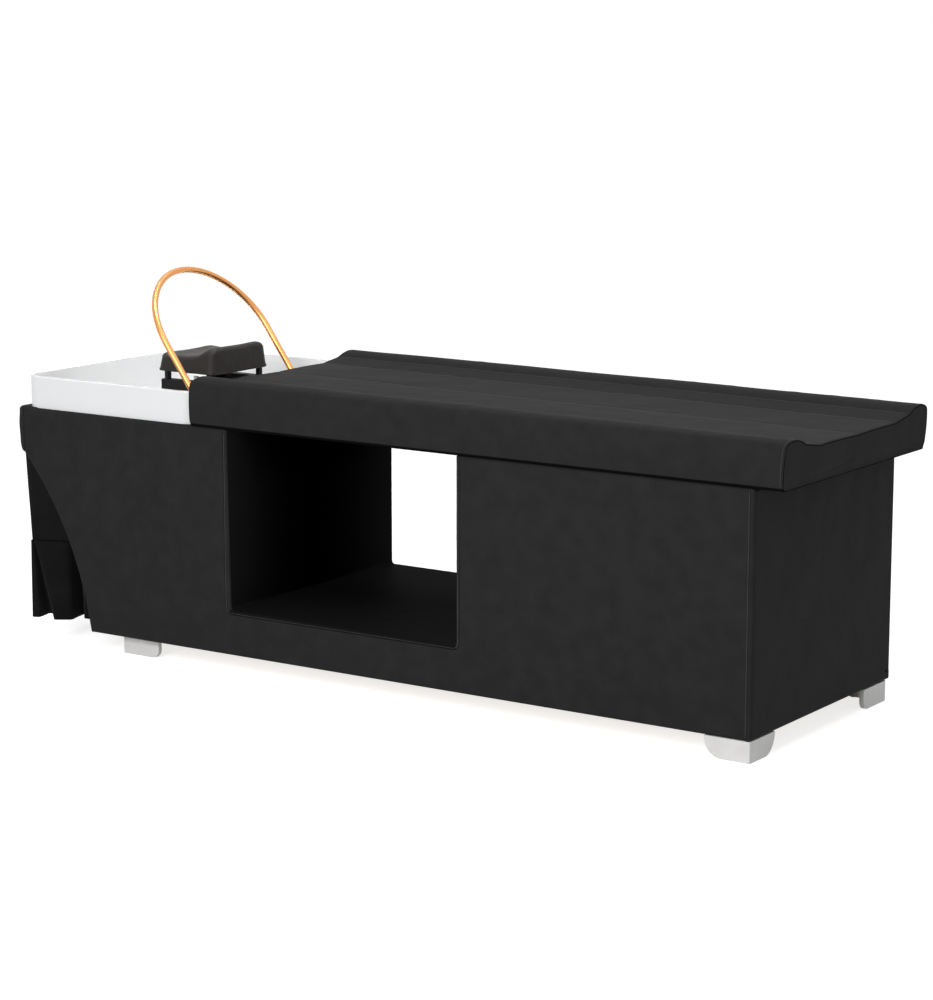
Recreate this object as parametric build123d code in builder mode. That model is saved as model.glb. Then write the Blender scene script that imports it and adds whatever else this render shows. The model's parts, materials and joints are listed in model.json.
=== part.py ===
from build123d import *
from math import cos, hypot, radians, sin
import os

# Hair washing bed: a padded box on four feet with a stool tunnel through it, a mattress on top,
# a basin with a lift-out headrest at the head end, and a tilting spray arch over the basin.
# +X runs to the foot end, +Y to the far side, +Z up. The origin is on the floor, under the middle.
# All lengths are in millimetres.

os.makedirs("parts", exist_ok=True)

# Body box: plywood boards under a padded leatherette cover
body_width = 700.0
body_top = 618.0
foot_height = 50.0
board = 15.0
pad = 10.0
pad_edge_radius = 8.0
head_corner_radius = 30.0
board_corner_radius = 12.0
batten = 20.0
band_height = 118.0

# Lengths along the bed, from the head end
basin_length = 561.0
mattress_gap = 2.0
mattress_length = 1652.0
foot_overhang = 70.0

# Stool tunnel
tunnel_length = 684.0
tunnel_from_basin = 112.0
tunnel_floor = 164.0
tunnel_corner_radius = 18.0

# Scooped lower corner of the side panels at the head end
scoop_lead = 4.0
scoop_reach = 209.0
scoop_sag = 44.0

# Clearances and overruns
seat_gap = 0.3      # between faces of pieces that move past each other
run_gap = 0.05      # round a pin or a stem
screw_gap = 0.1     # round a screw in its hole
overrun = 5.0       # how far a cut runs past the face it opens
tiny = 0.01         # tolerance when edges are picked by place

# Places that follow from these sizes
band_bottom = body_top - band_height
wall = pad + board
half_width = body_width / 2
board_half = half_width - pad
bay_half = board_half - board
total_length = wall + basin_length + mattress_gap + mattress_length
head_x = -total_length / 2
mattress_foot_x = total_length / 2
body_foot_x = mattress_foot_x - foot_overhang
foot_board_x = body_foot_x - pad
foot_bay_x = foot_board_x - board
basin_head_x = head_x + wall
basin_foot_x = basin_head_x + basin_length
mattress_head_x = basin_foot_x + mattress_gap
tunnel_head_x = basin_foot_x + tunnel_from_basin
tunnel_foot_x = tunnel_head_x + tunnel_length
tunnel_head_wall_x = tunnel_head_x - pad - board
tunnel_foot_wall_x = tunnel_foot_x + pad + board
band_end_x = head_x + head_corner_radius
scoop_top_x = band_end_x + scoop_lead
scoop_foot_x = scoop_top_x + scoop_reach
deck_under = body_top - board
bottom_top = foot_height + board


def fill_box(low, high, mode=Mode.ADD):
    # One box from its low corner to its high corner, in the part that is open
    with Locations(tuple((a + b) / 2 for a, b in zip(low, high))):
        Box(*(b - a for a, b in zip(low, high)), mode=mode)


def rounded_rectangle(plane, low, high, radius):
    # A rectangle with four round corners, from its low to its high corner in that plane
    with BuildSketch(plane) as outline:
        with Locations(((low[0] + high[0]) / 2, (low[1] + high[1]) / 2)):
            RectangleRounded(high[0] - low[0], high[1] - low[1], radius)
    return outline.sketch


def tunnel_outline(plane, grow):
    # The tunnel's mouth, open at the top, grown all round by the lining's thickness
    low_x, high_x = tunnel_head_x - grow, tunnel_foot_x + grow
    low_z, high_z = tunnel_floor - grow, body_top + overrun
    with BuildSketch(plane) as outline:
        with Locations(((low_x + high_x) / 2, (low_z + high_z) / 2)):
            Rectangle(high_x - low_x, high_z - low_z)
        fillet(outline.vertices().group_by(Axis.Y)[0], tunnel_corner_radius + grow)
    return outline.sketch


def side_outline(plane, head_end, foot_end):
    # A side panel: straight top and foot, the scooped head corner and the tunnel's mouth
    with BuildSketch(plane) as outline:
        with BuildLine():
            edge = Polyline(
                (scoop_top_x, band_bottom), (head_end, band_bottom), (head_end, body_top),
                (foot_end, body_top), (foot_end, foot_height), (scoop_foot_x, foot_height),
            )
            SagittaArc(edge @ 0, edge @ 1, scoop_sag)
        make_face()
        add(tunnel_outline(Plane.XY, pad), mode=Mode.SUBTRACT)
    return outline.sketch


def u_outline(low_x, high_x, half_y, radius):
    # A rectangle in plan whose two head corners are round
    with BuildSketch() as outline:
        with Locations(((low_x + high_x) / 2, 0)):
            Rectangle(high_x - low_x, 2 * half_y)
        fillet(outline.vertices().group_by(Axis.X)[0], radius)
    return outline.sketch


# Foot screws, needed here because the bottom board is drilled for them
foot_size = 117.0
foot_wall = 12.0
foot_plate = 4.0
foot_edge_radius = 3.0
boat_toe = 48.0
plain_toe = 22.0
foot_screw_radius = 2.25
foot_screw_head_radius = 4.5
foot_screw_head = 3.0
foot_screw_near = 34.0
foot_screw_far = 66.0
tail_foot_inset = 1.0
tail_rear_inset = 19.0
head_foot_setback = 325.0
head_foot_inset = 32.0

# name, x and y of the outer corner, which way the foot grows from it, and the radius of its toes
foot_places = [
    ("foot_tail_front", body_foot_x - tail_foot_inset, -half_width, -1, 1, boat_toe),
    ("foot_tail_rear", body_foot_x - tail_foot_inset, half_width - tail_rear_inset, -1, -1, plain_toe),
    ("foot_head_front", head_x + head_foot_setback, head_foot_inset - half_width, 1, 1, plain_toe),
    ("foot_head_rear", head_x + head_foot_setback, half_width - head_foot_inset, 1, -1, plain_toe),
]
foot_hole_places = [(foot_screw_far, foot_screw_near), (foot_screw_near, foot_screw_far)]
foot_screw_places = [
    (x + way_x * a, y + way_y * b) for _, x, y, way_x, way_y, _ in foot_places for a, b in foot_hole_places
]

# Mattress bolts, through the deck into the mattress board
bolt_radius = 4.0
bolt_head_radius = 7.5
bolt_head = 5.5
bolt_inset = 130.0
bolt_from_ends = 45.0
mattress_board = 12.0
bolt_places = [
    (x, side * (half_width - bolt_inset))
    for x in (tunnel_head_wall_x - bolt_from_ends, foot_bay_x - bolt_from_ends) for side in (-1, 1)
]

# Waste pipe, which the bottom board stays clear of
pipe_radius = 20.0
pipe_wall = 2.0
pipe_bend = 30.0
pipe_end = 90.0
pipe_gap = 7.0
waste_from_head = 135.0
trap_radius = 36.0
trap_to_pipe = 29.0
waste_x = basin_head_x + waste_from_head
pipe_x = waste_x + trap_radius + trap_to_pipe
bottom_head_x = pipe_x + pipe_radius + pipe_gap

# Boards of the box
with BuildPart() as front_side_board:
    extrude(side_outline(Plane.XZ.offset(bay_half), basin_head_x, foot_board_x), amount=board)
front_side_board.part.label = "front_side_board"
export_step(front_side_board.part, "parts/front_side_board.step")

with BuildPart() as rear_side_board:
    mirror(front_side_board.part, about=Plane.XZ)
rear_side_board.part.label = "rear_side_board"
export_step(rear_side_board.part, "parts/rear_side_board.step")

with BuildPart() as foot_end_board:
    fill_box((foot_bay_x, -bay_half, foot_height), (foot_board_x, bay_half, body_top))
foot_end_board.part.label = "foot_end_board"
export_step(foot_end_board.part, "parts/foot_end_board.step")

with BuildPart() as head_band_board:
    extrude(u_outline(head_x + pad, basin_head_x, board_half, board_corner_radius), amount=body_top)
    split(bisect_by=Plane.XY.offset(band_bottom), keep=Keep.TOP)
head_band_board.part.label = "head_band_board"
export_step(head_band_board.part, "parts/head_band_board.step")

with BuildPart() as tunnel_head_wall:
    fill_box((tunnel_head_wall_x, -bay_half, bottom_top), (tunnel_head_wall_x + board, bay_half, deck_under))
tunnel_head_wall.part.label = "tunnel_head_wall"
export_step(tunnel_head_wall.part, "parts/tunnel_head_wall.step")

with BuildPart() as tunnel_foot_wall:
    fill_box((tunnel_foot_wall_x - board, -bay_half, bottom_top), (tunnel_foot_wall_x, bay_half, deck_under))
tunnel_foot_wall.part.label = "tunnel_foot_wall"
export_step(tunnel_foot_wall.part, "parts/tunnel_foot_wall.step")

with BuildPart() as tunnel_floor_board:
    fill_box(
        (tunnel_head_x - pad, -bay_half, tunnel_floor - pad - board),
        (tunnel_foot_x + pad, bay_half, tunnel_floor - pad),
    )
tunnel_floor_board.part.label = "tunnel_floor_board"
export_step(tunnel_floor_board.part, "parts/tunnel_floor_board.step")

# Basin: a rim that stands on the box and a bowl that hangs inside it
basin_rise = 82.0
basin_depth = 180.0
basin_wall = 8.0
basin_rim = 12.0
basin_inset = 10.0
basin_corner_radius = 45.0
basin_edge_radius = 4.0
bowl_head_fall = 38.0
bowl_side_fall = 43.0
bowl_cove_radius = 14.0
drain_radius = 22.0
drain_dish_radius = 60.0
drain_seat_radius = 33.0
drain_dish = 3.0
basin_top = body_top + basin_rise
basin_floor = basin_top - basin_depth
basin_half = half_width - basin_inset
bowl_head_x, bowl_foot_x = basin_head_x + basin_rim, basin_foot_x - basin_rim
bowl_half = basin_half - basin_rim


def bowl_body(low, high, grow):
    # The bowl between two heights, grown by the wall where it is the outside: its neck wall is
    # upright, the other three lean in, and the corners and the floor are coved
    def fall(z):
        return (basin_top - z) / (basin_top - basin_floor)

    with BuildPart() as bowl:
        with BuildSketch(Plane.XZ):
            with BuildLine():
                Polyline(
                    (bowl_head_x + bowl_head_fall * fall(low) - grow, low), (bowl_foot_x + grow, low),
                    (bowl_foot_x + grow, high), (bowl_head_x + bowl_head_fall * fall(high) - grow, high),
                    close=True,
                )
            make_face()
        extrude(amount=half_width, both=True)
        with BuildSketch(Plane.YZ):
            with BuildLine():
                low_half = bowl_half - bowl_side_fall * fall(low) + grow
                high_half = bowl_half - bowl_side_fall * fall(high) + grow
                Polyline((-low_half, low), (low_half, low), (high_half, high), (-high_half, high), close=True)
            make_face()
        extrude(amount=total_length, both=True, mode=Mode.INTERSECT)
        upright = bowl.edges().filter_by(lambda edge: edge.bounding_box().size.Z > (high - low) / 2)
        fillet(upright, basin_corner_radius - basin_rim + grow)
        fillet(bowl.edges().group_by(Axis.Z)[0], bowl_cove_radius + grow)
    return bowl.part


# Spray arch, its hinge brackets and its water feed
arch_tube_radius = 8.0
arch_tube_wall = 1.5
arch_from_bowl = 120.5
arch_crown_half = 12.5
arch_crown_rise = 5.5
arch_leg = 255.0
arch_tilt = 35.6
hinge_setback = 31.5
hinge_drop = 113.0
knuckle_radius = 12.0
knuckle_width = 18.0
hinge_pin_radius = 6.0
hinge_cap_radius = 9.0
hinge_cap = 3.0
bracket_gap = 1.0
bracket_plate = 6.0
bracket_flange = 22.0
bracket_height = 44.0
bracket_screw_radius = 2.5
bracket_screw_head_radius = 4.5
bracket_screw_head = 3.0
bracket_screw_spread = 12.0
bracket_screw_tail = 4.0
feed_radius = 5.0
feed_wall = 1.5
feed_bend = 12.0
feed_reach = 30.0
feed_tail = 28.0
feed_drop = 45.0
nipple_radius = 8.0
nipple_length = 20.0
hose_room = 9.0
locknut_radius = 12.0
locknut = 6.0
spray_hole_radius = 1.5
spray_holes = 9
spray_spread = 84.0

arch_half = bowl_half - arch_from_bowl
arch_side_radius = arch_half - arch_crown_half
arch_rise = arch_side_radius + arch_crown_rise
hinge_x = bowl_foot_x - hinge_setback
hinge_height = basin_top - hinge_drop
bracket_in = arch_half + knuckle_width / 2 + bracket_gap
bracket_out = bracket_in + bracket_plate
bracket_screw_y = bracket_out + bracket_flange / 2
bracket_screw_zs = [hinge_height - bracket_screw_spread, hinge_height + bracket_screw_spread]
bearer_foot_x = bowl_foot_x + basin_wall + board
feed_y = bracket_out + feed_reach
feed_end_x = bearer_foot_x + feed_tail
bracket_screw_places = [(side * bracket_screw_y, z) for side in (-1, 1) for z in bracket_screw_zs]


# Bottom board, with the hole that the water hose comes up through
with BuildPart() as bottom_board:
    fill_box((bottom_head_x, -bay_half, foot_height), (foot_bay_x, bay_half, bottom_top))
    with Locations(*[(x, y, bottom_top) for x, y in foot_screw_places]):
        Hole(foot_screw_radius + screw_gap)
    with Locations((feed_end_x, feed_y, bottom_top)):
        Hole(nipple_radius + hose_room)
bottom_board.part.label = "bottom_board"
export_step(bottom_board.part, "parts/bottom_board.step")


def drill_neck_wall():
    # Holes for the bracket screws and the feed pipe, in the part that is open
    with Locations(*[(bearer_foot_x, y, z) for y, z in bracket_screw_places]):
        Cylinder(bracket_screw_radius + screw_gap, 2 * board + 2 * basin_rim + overrun,
                 rotation=(0, 90, 0), mode=Mode.SUBTRACT)
    with Locations((bearer_foot_x, feed_y, hinge_height)):
        Cylinder(feed_radius + screw_gap, 2 * board + 2 * basin_rim + overrun,
                 rotation=(0, 90, 0), mode=Mode.SUBTRACT)


with BuildPart() as basin:
    with BuildSketch(Plane.XY.offset(body_top)):
        add(rounded_rectangle(Plane.XY, (basin_head_x, -basin_half), (basin_foot_x, basin_half),
                              basin_corner_radius))
    extrude(amount=basin_top - body_top)
    fillet(basin.edges().group_by(Axis.Z)[-1], basin_edge_radius)
    add(bowl_body(basin_floor - basin_wall, body_top, basin_wall))
    add(bowl_body(basin_floor, basin_top, 0), mode=Mode.SUBTRACT)
    with Locations((waste_x, 0, basin_floor - drain_dish / 2)):
        Cone(drain_seat_radius, drain_dish_radius, drain_dish, mode=Mode.SUBTRACT)
    with Locations((waste_x, 0, basin_floor)):
        Cylinder(drain_radius, 2 * basin_wall + overrun, mode=Mode.SUBTRACT)
    drill_neck_wall()
basin.part.label = "basin"
export_step(basin.part, "parts/basin.step")

# Cross bearers under the basin's rim, deck and battens
bearer_height = 50.0
bearer_low = body_top - bearer_height
with BuildPart() as head_bearer:
    fill_box((basin_head_x, -bay_half, bearer_low), (basin_head_x + board, bay_half, body_top))
head_bearer.part.label = "head_bearer"
export_step(head_bearer.part, "parts/head_bearer.step")

with BuildPart() as neck_bearer:
    fill_box((bearer_foot_x - board, -bay_half, bearer_low), (bearer_foot_x, bay_half, body_top))
    drill_neck_wall()
neck_bearer.part.label = "neck_bearer"
export_step(neck_bearer.part, "parts/neck_bearer.step")

# The deck is narrower over the tunnel, so that only the mattress is seen above the tunnel's mouths
deck_waist = 60.0
with BuildPart() as bed_deck:
    fill_box((bearer_foot_x, -bay_half, deck_under), (foot_bay_x, bay_half, body_top))
    for side in (-1, 1):
        fill_box((tunnel_head_x, side * bay_half - deck_waist, deck_under),
                 (tunnel_foot_x, side * bay_half + deck_waist, body_top), mode=Mode.SUBTRACT)
    with Locations(*[(x, y, body_top) for x, y in bolt_places]):
        Hole(bolt_radius + screw_gap)
bed_deck.part.label = "bed_deck"
export_step(bed_deck.part, "parts/bed_deck.step")

batten_top = deck_under - batten
with BuildPart() as corner_battens:
    for x in (tunnel_head_wall_x - batten, tunnel_foot_wall_x, foot_bay_x - batten):
        for y in (-bay_half, bay_half - batten):
            fill_box((x, y, bottom_top), (x + batten, y + batten, batten_top))
corner_battens.part.label = "corner_battens"
export_step(corner_battens.part, "parts/corner_battens.step")

with BuildPart() as deck_battens:
    for low_x, high_x in ((bearer_foot_x, tunnel_head_wall_x), (tunnel_foot_wall_x, foot_bay_x)):
        for y in (-bay_half, bay_half - batten):
            fill_box((low_x, y, batten_top), (high_x, y + batten, deck_under))
deck_battens.part.label = "deck_battens"
export_step(deck_battens.part, "parts/deck_battens.step")

# Padded covers over the boards
with BuildPart() as front_side_cover:
    extrude(side_outline(Plane.XZ.offset(board_half), band_end_x, foot_board_x), amount=pad)
    outer_face = front_side_cover.faces().sort_by(Axis.Y)[0]
    padded_edges = outer_face.edges().filter_by(
        lambda edge: abs(edge.center().Z - body_top) < tiny
        or abs(edge.center().Z - foot_height) < tiny
        or band_end_x + tiny < edge.center().X < scoop_foot_x
    )
    fillet(padded_edges, pad_edge_radius)
front_side_cover.part.label = "front_side_cover"
export_step(front_side_cover.part, "parts/front_side_cover.step")

with BuildPart() as rear_side_cover:
    mirror(front_side_cover.part, about=Plane.XZ)
rear_side_cover.part.label = "rear_side_cover"
export_step(rear_side_cover.part, "parts/rear_side_cover.step")

with BuildPart() as foot_end_cover:
    fill_box((foot_board_x, -half_width, foot_height), (body_foot_x, half_width, body_top))
    fillet(foot_end_cover.faces().sort_by(Axis.X)[-1].edges(), pad_edge_radius)
foot_end_cover.part.label = "foot_end_cover"
export_step(foot_end_cover.part, "parts/foot_end_cover.step")

with BuildPart() as head_band_cover:
    with BuildSketch(Plane.XY.offset(band_bottom)):
        add(u_outline(head_x, band_end_x, half_width, head_corner_radius - tiny))
        add(u_outline(head_x + pad, band_end_x, board_half, board_corner_radius), mode=Mode.SUBTRACT)
    extrude(amount=body_top - band_bottom)
    band_edges = head_band_cover.edges().filter_by(
        lambda edge: (edge @ 0.5).X < head_x + tiny
        or (edge.geom_type == GeomType.CIRCLE and edge.radius > board_corner_radius + tiny)
    )
    fillet(band_edges, pad_edge_radius)
head_band_cover.part.label = "head_band_cover"
export_step(head_band_cover.part, "parts/head_band_cover.step")

with BuildPart() as tunnel_lining:
    with BuildSketch(Plane.XZ.offset(half_width)):
        add(tunnel_outline(Plane.XY, pad))
        add(tunnel_outline(Plane.XY, 0), mode=Mode.SUBTRACT)
    extrude(amount=-body_width)
    split(bisect_by=Plane.XY.offset(body_top), keep=Keep.BOTTOM)
    fill_box(
        (tunnel_head_x - pad - overrun, -bay_half, deck_under),
        (tunnel_foot_x + pad + overrun, bay_half, body_top + overrun), mode=Mode.SUBTRACT,
    )
    mouth_edges = tunnel_lining.edges().filter_by(
        lambda edge: abs(edge.center().Y) > half_width - tiny
        and tunnel_head_x - tiny < edge.center().X < tunnel_foot_x + tiny
        and edge.center().Z > tunnel_floor - tiny
    )
    fillet(mouth_edges, pad_edge_radius)
tunnel_lining.part.label = "tunnel_lining"
export_step(tunnel_lining.part, "parts/tunnel_lining.step")


# Feet: moulded corner legs of two wings, whose ends sweep up, under a plate that takes the screws
def foot_wing(plane, toe):
    # The side view of one wing, upright at the corner and round at its far end
    with BuildSketch(plane) as outline:
        with BuildLine():
            edge = Polyline((foot_size - toe, 0), (0, 0), (0, foot_height), (foot_size, foot_height),
                            (foot_size, toe))
            TangentArc(edge @ 1, edge @ 0, tangent=(0, -1))
        make_face()
    return outline.sketch


def corner_foot(toe):
    # A foot with its corner at the origin and its wings along +X and +Y
    with BuildPart() as foot:
        extrude(foot_wing(Plane.XZ, toe), amount=-foot_wall)
        extrude(foot_wing(Plane.YZ, toe), amount=foot_wall)
        with BuildSketch(Plane.XY.offset(foot_height - foot_plate)):
            with BuildLine():
                Polyline((0, 0), (foot_size, 0), (foot_size, foot_wall), (foot_wall, foot_size),
                         (0, foot_size), close=True)
            make_face()
            with Locations(*foot_hole_places):
                Circle(foot_screw_radius + screw_gap, mode=Mode.SUBTRACT)
        extrude(amount=foot_plate)
        uprights = foot.edges().filter_by(Axis.Z)
        fillet(uprights.sort_by(lambda edge: edge.center().X + edge.center().Y)[0], foot_edge_radius)
    return foot.part


for name, x, y, way_x, way_y, toe in foot_places:
    with BuildPart() as placed_foot:
        body = corner_foot(toe)
        if way_x < 0:
            body = body.mirror(Plane.YZ)
        if way_y < 0:
            body = body.mirror(Plane.XZ)
        add(body.translate((x, y, 0)))
    placed_foot.part.label = name
    export_step(placed_foot.part, f"parts/{name}.step")

foot_plate_low = foot_height - foot_plate
with BuildPart() as foot_screws:
    with Locations(*[(x, y, foot_plate_low) for x, y in foot_screw_places]):
        Cylinder(foot_screw_head_radius, foot_screw_head, align=(Align.CENTER, Align.CENTER, Align.MAX))
        Cylinder(foot_screw_radius, foot_plate + board, align=(Align.CENTER, Align.CENTER, Align.MIN))
foot_screws.part.label = "foot_screws"
export_step(foot_screws.part, "parts/foot_screws.step")

# A round glide screwed under the foot end, beside the far tail foot
glide_radius = 9.0
glide_height = 17.0
glide_edge_radius = 3.0
glide_from_foot = 24.0
glide_from_side = 145.0
with BuildPart() as frame_glide:
    with Locations((body_foot_x - glide_from_foot, half_width - glide_from_side, foot_height)):
        Cylinder(glide_radius, glide_height, align=(Align.CENTER, Align.CENTER, Align.MAX))
    fillet(frame_glide.edges().group_by(Axis.Z)[0], glide_edge_radius)
frame_glide.part.label = "frame_glide"
export_step(frame_glide.part, "parts/frame_glide.step")

# Mattress: board, foam and a leatherette cover with rolled sides and sewn channels
skin = 2.5
mattress_overlap = 3.0
mattress_bulge = 12.0
mattress_shoulder = 2.0
bulge_rise = 50.0
shoulder_rise = 98.0
roll_inset = 32.0
channel_from_side = 92.0
channel_width = 75.0
puff = 4.0
# Heights above the box of the centre seam, the inner seam, the outer seam and the roll
head_rises = (92.0, 93.0, 103.0, 116.0)
foot_rises = (77.0, 81.0, 101.0, 113.0)
mattress_board_inset = 10.0
mattress_half = half_width + mattress_overlap
channel_outer = half_width - channel_from_side
channel_inner = channel_outer - channel_width


def mattress_section(x, rises, inset):
    # The mattress's end view: flat below, rolled at both sides, with sewn channels on top
    centre_z, inner_z, outer_z, roll_z = (body_top + rise - inset for rise in rises)
    shoulder = (half_width + mattress_shoulder - inset, body_top + shoulder_rise - inset)
    seams = [(0, centre_z), (channel_inner, inner_z), (channel_outer, outer_z),
             shoulder, (mattress_half - inset, body_top)]
    crowns = [(channel_inner / 2, (centre_z + inner_z) / 2 + puff),
              ((channel_inner + channel_outer) / 2, (inner_z + outer_z) / 2 + puff / 2),
              (half_width - roll_inset, roll_z), (half_width + mattress_bulge - inset, body_top + bulge_rise)]
    with BuildSketch(Plane.YZ.offset(x)) as section:
        with BuildLine():
            for side in (-1, 1):
                for (y0, z0), (ym, zm), (y1, z1) in zip(seams, crowns, seams[1:]):
                    ThreePointArc((side * y0, z0), (side * ym, zm), (side * y1, z1))
            Line((-mattress_half + inset, body_top), (mattress_half - inset, body_top))
        make_face()
    return section.sketch


board_low = (mattress_head_x + mattress_board_inset, mattress_board_inset - mattress_half, body_top)
board_high = (
    mattress_foot_x - mattress_board_inset, mattress_half - mattress_board_inset, body_top + mattress_board
)
with BuildPart() as mattress_foam:
    loft([mattress_section(mattress_head_x + skin, head_rises, skin),
          mattress_section(mattress_foot_x - skin, foot_rises, skin)], ruled=True)
    fill_box(board_low, board_high, mode=Mode.SUBTRACT)
mattress_foam.part.label = "mattress_foam"
export_step(mattress_foam.part, "parts/mattress_foam.step")

with BuildPart() as mattress_cover:
    loft([mattress_section(mattress_head_x, head_rises, 0),
          mattress_section(mattress_foot_x, foot_rises, 0)], ruled=True)
    loft([mattress_section(mattress_head_x + skin, head_rises, skin),
          mattress_section(mattress_foot_x - skin, foot_rises, skin)], ruled=True, mode=Mode.SUBTRACT)
mattress_cover.part.label = "mattress_cover"
export_step(mattress_cover.part, "parts/mattress_cover.step")

with BuildPart() as mattress_base:
    fill_box(board_low, board_high)
    with Locations(*[(x, y, body_top + mattress_board) for x, y in bolt_places]):
        Hole(bolt_radius + screw_gap)
mattress_base.part.label = "mattress_base"
export_step(mattress_base.part, "parts/mattress_base.step")

with BuildPart() as mattress_bolts:
    with BuildSketch(Plane.XY.offset(deck_under - bolt_head)):
        with Locations(*bolt_places):
            RegularPolygon(bolt_head_radius, 6)
    extrude(amount=bolt_head)
    with Locations(*[(x, y, deck_under) for x, y in bolt_places]):
        Cylinder(bolt_radius, board + mattress_board, align=(Align.CENTER, Align.CENTER, Align.MIN))
mattress_bolts.part.label = "mattress_bolts"
export_step(mattress_bolts.part, "parts/mattress_bolts.step")

# Waste: flanged outlet with washers and a nut, push-up stopper, bottle trap and pipe
flange_radius = 31.5
flange = 2.5
outlet_radius = 20.0
outlet_bore = 16.5
outlet_length = 90.0
spider_hub_radius = 7.0
spider_arm = 3.0
spider_height = 12.0
spider_drop = 8.0
stopper_stem_radius = 4.0
stopper_radius = 29.0
stopper_thick = 3.0
stopper_stem = 40.0
washer_radius = 30.0
washer_thick = 2.0
nut_radius = 33.0
nut_height = 9.0
trap_grip = 6.0
trap_cap = 50.0
trap_cup_radius = 32.0
trap_cup_wall = 2.5
trap_cup_depth = 85.0
trap_nut_radius = 28.0
trap_nut = 12.0
outlet_end = basin_floor - outlet_length
trap_top = outlet_end + trap_grip
dish_low = basin_floor - drain_dish
basin_under = basin_floor - basin_wall
outlet_top = dish_low + washer_thick + flange

with BuildPart() as waste_outlet:
    with Locations((waste_x, 0, outlet_top)):
        Cylinder(flange_radius, flange, align=(Align.CENTER, Align.CENTER, Align.MAX))
        Cylinder(outlet_radius, outlet_top - outlet_end, align=(Align.CENTER, Align.CENTER, Align.MAX))
        Cylinder(outlet_bore, 2 * (outlet_top - outlet_end) + overrun, mode=Mode.SUBTRACT)
    with Locations((waste_x, 0, outlet_top - spider_drop)):
        Cylinder(spider_hub_radius, spider_height, align=(Align.CENTER, Align.CENTER, Align.MAX))
        with Locations((0, 0, -spider_height / 2)):
            Box(2 * outlet_bore + outlet_radius - outlet_bore, spider_arm, spider_height)
            Box(spider_arm, 2 * outlet_bore + outlet_radius - outlet_bore, spider_height)
        Cylinder(stopper_stem_radius + run_gap, 2 * spider_height + overrun, mode=Mode.SUBTRACT)
waste_outlet.part.label = "waste_outlet"
export_step(waste_outlet.part, "parts/waste_outlet.step")

with BuildPart() as waste_stopper:
    with Locations((waste_x, 0, outlet_top + seat_gap)):
        Cylinder(stopper_radius, stopper_thick, align=(Align.CENTER, Align.CENTER, Align.MIN))
        Cylinder(stopper_stem_radius, stopper_stem, align=(Align.CENTER, Align.CENTER, Align.MAX))
    fillet(waste_stopper.edges().group_by(Axis.Z)[-1], stopper_thick / 2)
waste_stopper.part.label = "waste_stopper"
export_step(waste_stopper.part, "parts/waste_stopper.step")

with BuildPart() as waste_washers:
    for z in (dish_low, basin_under - washer_thick):
        with Locations((waste_x, 0, z)):
            Cylinder(washer_radius, washer_thick, align=(Align.CENTER, Align.CENTER, Align.MIN))
            Cylinder(outlet_radius + screw_gap, 2 * washer_thick + overrun, mode=Mode.SUBTRACT)
    with Locations((waste_x, 0, basin_floor)):
        Cylinder(outlet_radius + screw_gap, 2 * basin_wall, mode=Mode.SUBTRACT)
waste_washers.part.label = "waste_washers"
export_step(waste_washers.part, "parts/waste_washers.step")

with BuildPart() as waste_locknut:
    with BuildSketch(Plane.XY.offset(basin_under - washer_thick)):
        with Locations((waste_x, 0)):
            RegularPolygon(nut_radius, 6)
            Circle(outlet_radius + screw_gap, mode=Mode.SUBTRACT)
    extrude(amount=-nut_height)
waste_locknut.part.label = "waste_locknut"
export_step(waste_locknut.part, "parts/waste_locknut.step")

with BuildPart() as trap_body:
    with Locations((waste_x, 0, trap_top)):
        Cylinder(trap_radius, trap_cap, align=(Align.CENTER, Align.CENTER, Align.MAX))
    fillet(trap_body.edges().group_by(Axis.Z)[-1], pipe_wall * 2)
    with Locations((waste_x, 0, trap_top)):
        Cylinder(outlet_radius + screw_gap, 2 * (trap_top - outlet_end), mode=Mode.SUBTRACT)
        Cylinder(outlet_bore, 2 * trap_cap + overrun, mode=Mode.SUBTRACT)
    with Locations((waste_x, 0, trap_top - trap_cap)):
        Cylinder(trap_cup_radius + screw_gap, trap_cap, mode=Mode.SUBTRACT)
trap_body.part.label = "trap_body"
export_step(trap_body.part, "parts/trap_body.step")

with BuildPart() as trap_nut_ring:
    with BuildSketch(Plane.XY.offset(trap_top)):
        with Locations((waste_x, 0)):
            RegularPolygon(trap_nut_radius, 8)
            Circle(outlet_radius + screw_gap, mode=Mode.SUBTRACT)
    extrude(amount=trap_nut)
trap_nut_ring.part.label = "trap_nut"
export_step(trap_nut_ring.part, "parts/trap_nut.step")

cup_top = trap_top - trap_cap / 2
with BuildPart() as trap_cup:
    with Locations((waste_x, 0, cup_top)):
        Cylinder(trap_cup_radius, trap_cup_depth, align=(Align.CENTER, Align.CENTER, Align.MAX))
    fillet(trap_cup.edges().group_by(Axis.Z)[0], pad_edge_radius)
    with Locations((waste_x, 0, cup_top)):
        Cylinder(trap_cup_radius - trap_cup_wall, 2 * (trap_cup_depth - trap_cup_wall), mode=Mode.SUBTRACT)
trap_cup.part.label = "trap_cup"
export_step(trap_cup.part, "parts/trap_cup.step")

pipe_z = trap_top - pipe_radius - trap_cup_wall
with BuildPart() as drain_pipe:
    with BuildLine() as pipe_route:
        FilletPolyline((waste_x + pipe_radius, 0, pipe_z), (pipe_x, 0, pipe_z), (pipe_x, 0, pipe_end),
                       radius=pipe_bend)
    with BuildSketch(Plane(origin=pipe_route.line @ 0, z_dir=pipe_route.line % 0)):
        Circle(pipe_radius)
        Circle(pipe_radius - pipe_wall, mode=Mode.SUBTRACT)
    sweep()
    with Locations((waste_x, 0, pipe_z)):
        Cylinder(trap_radius, 2 * trap_cap, mode=Mode.SUBTRACT)
drain_pipe.part.label = "drain_pipe"
export_step(drain_pipe.part, "parts/drain_pipe.step")

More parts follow.
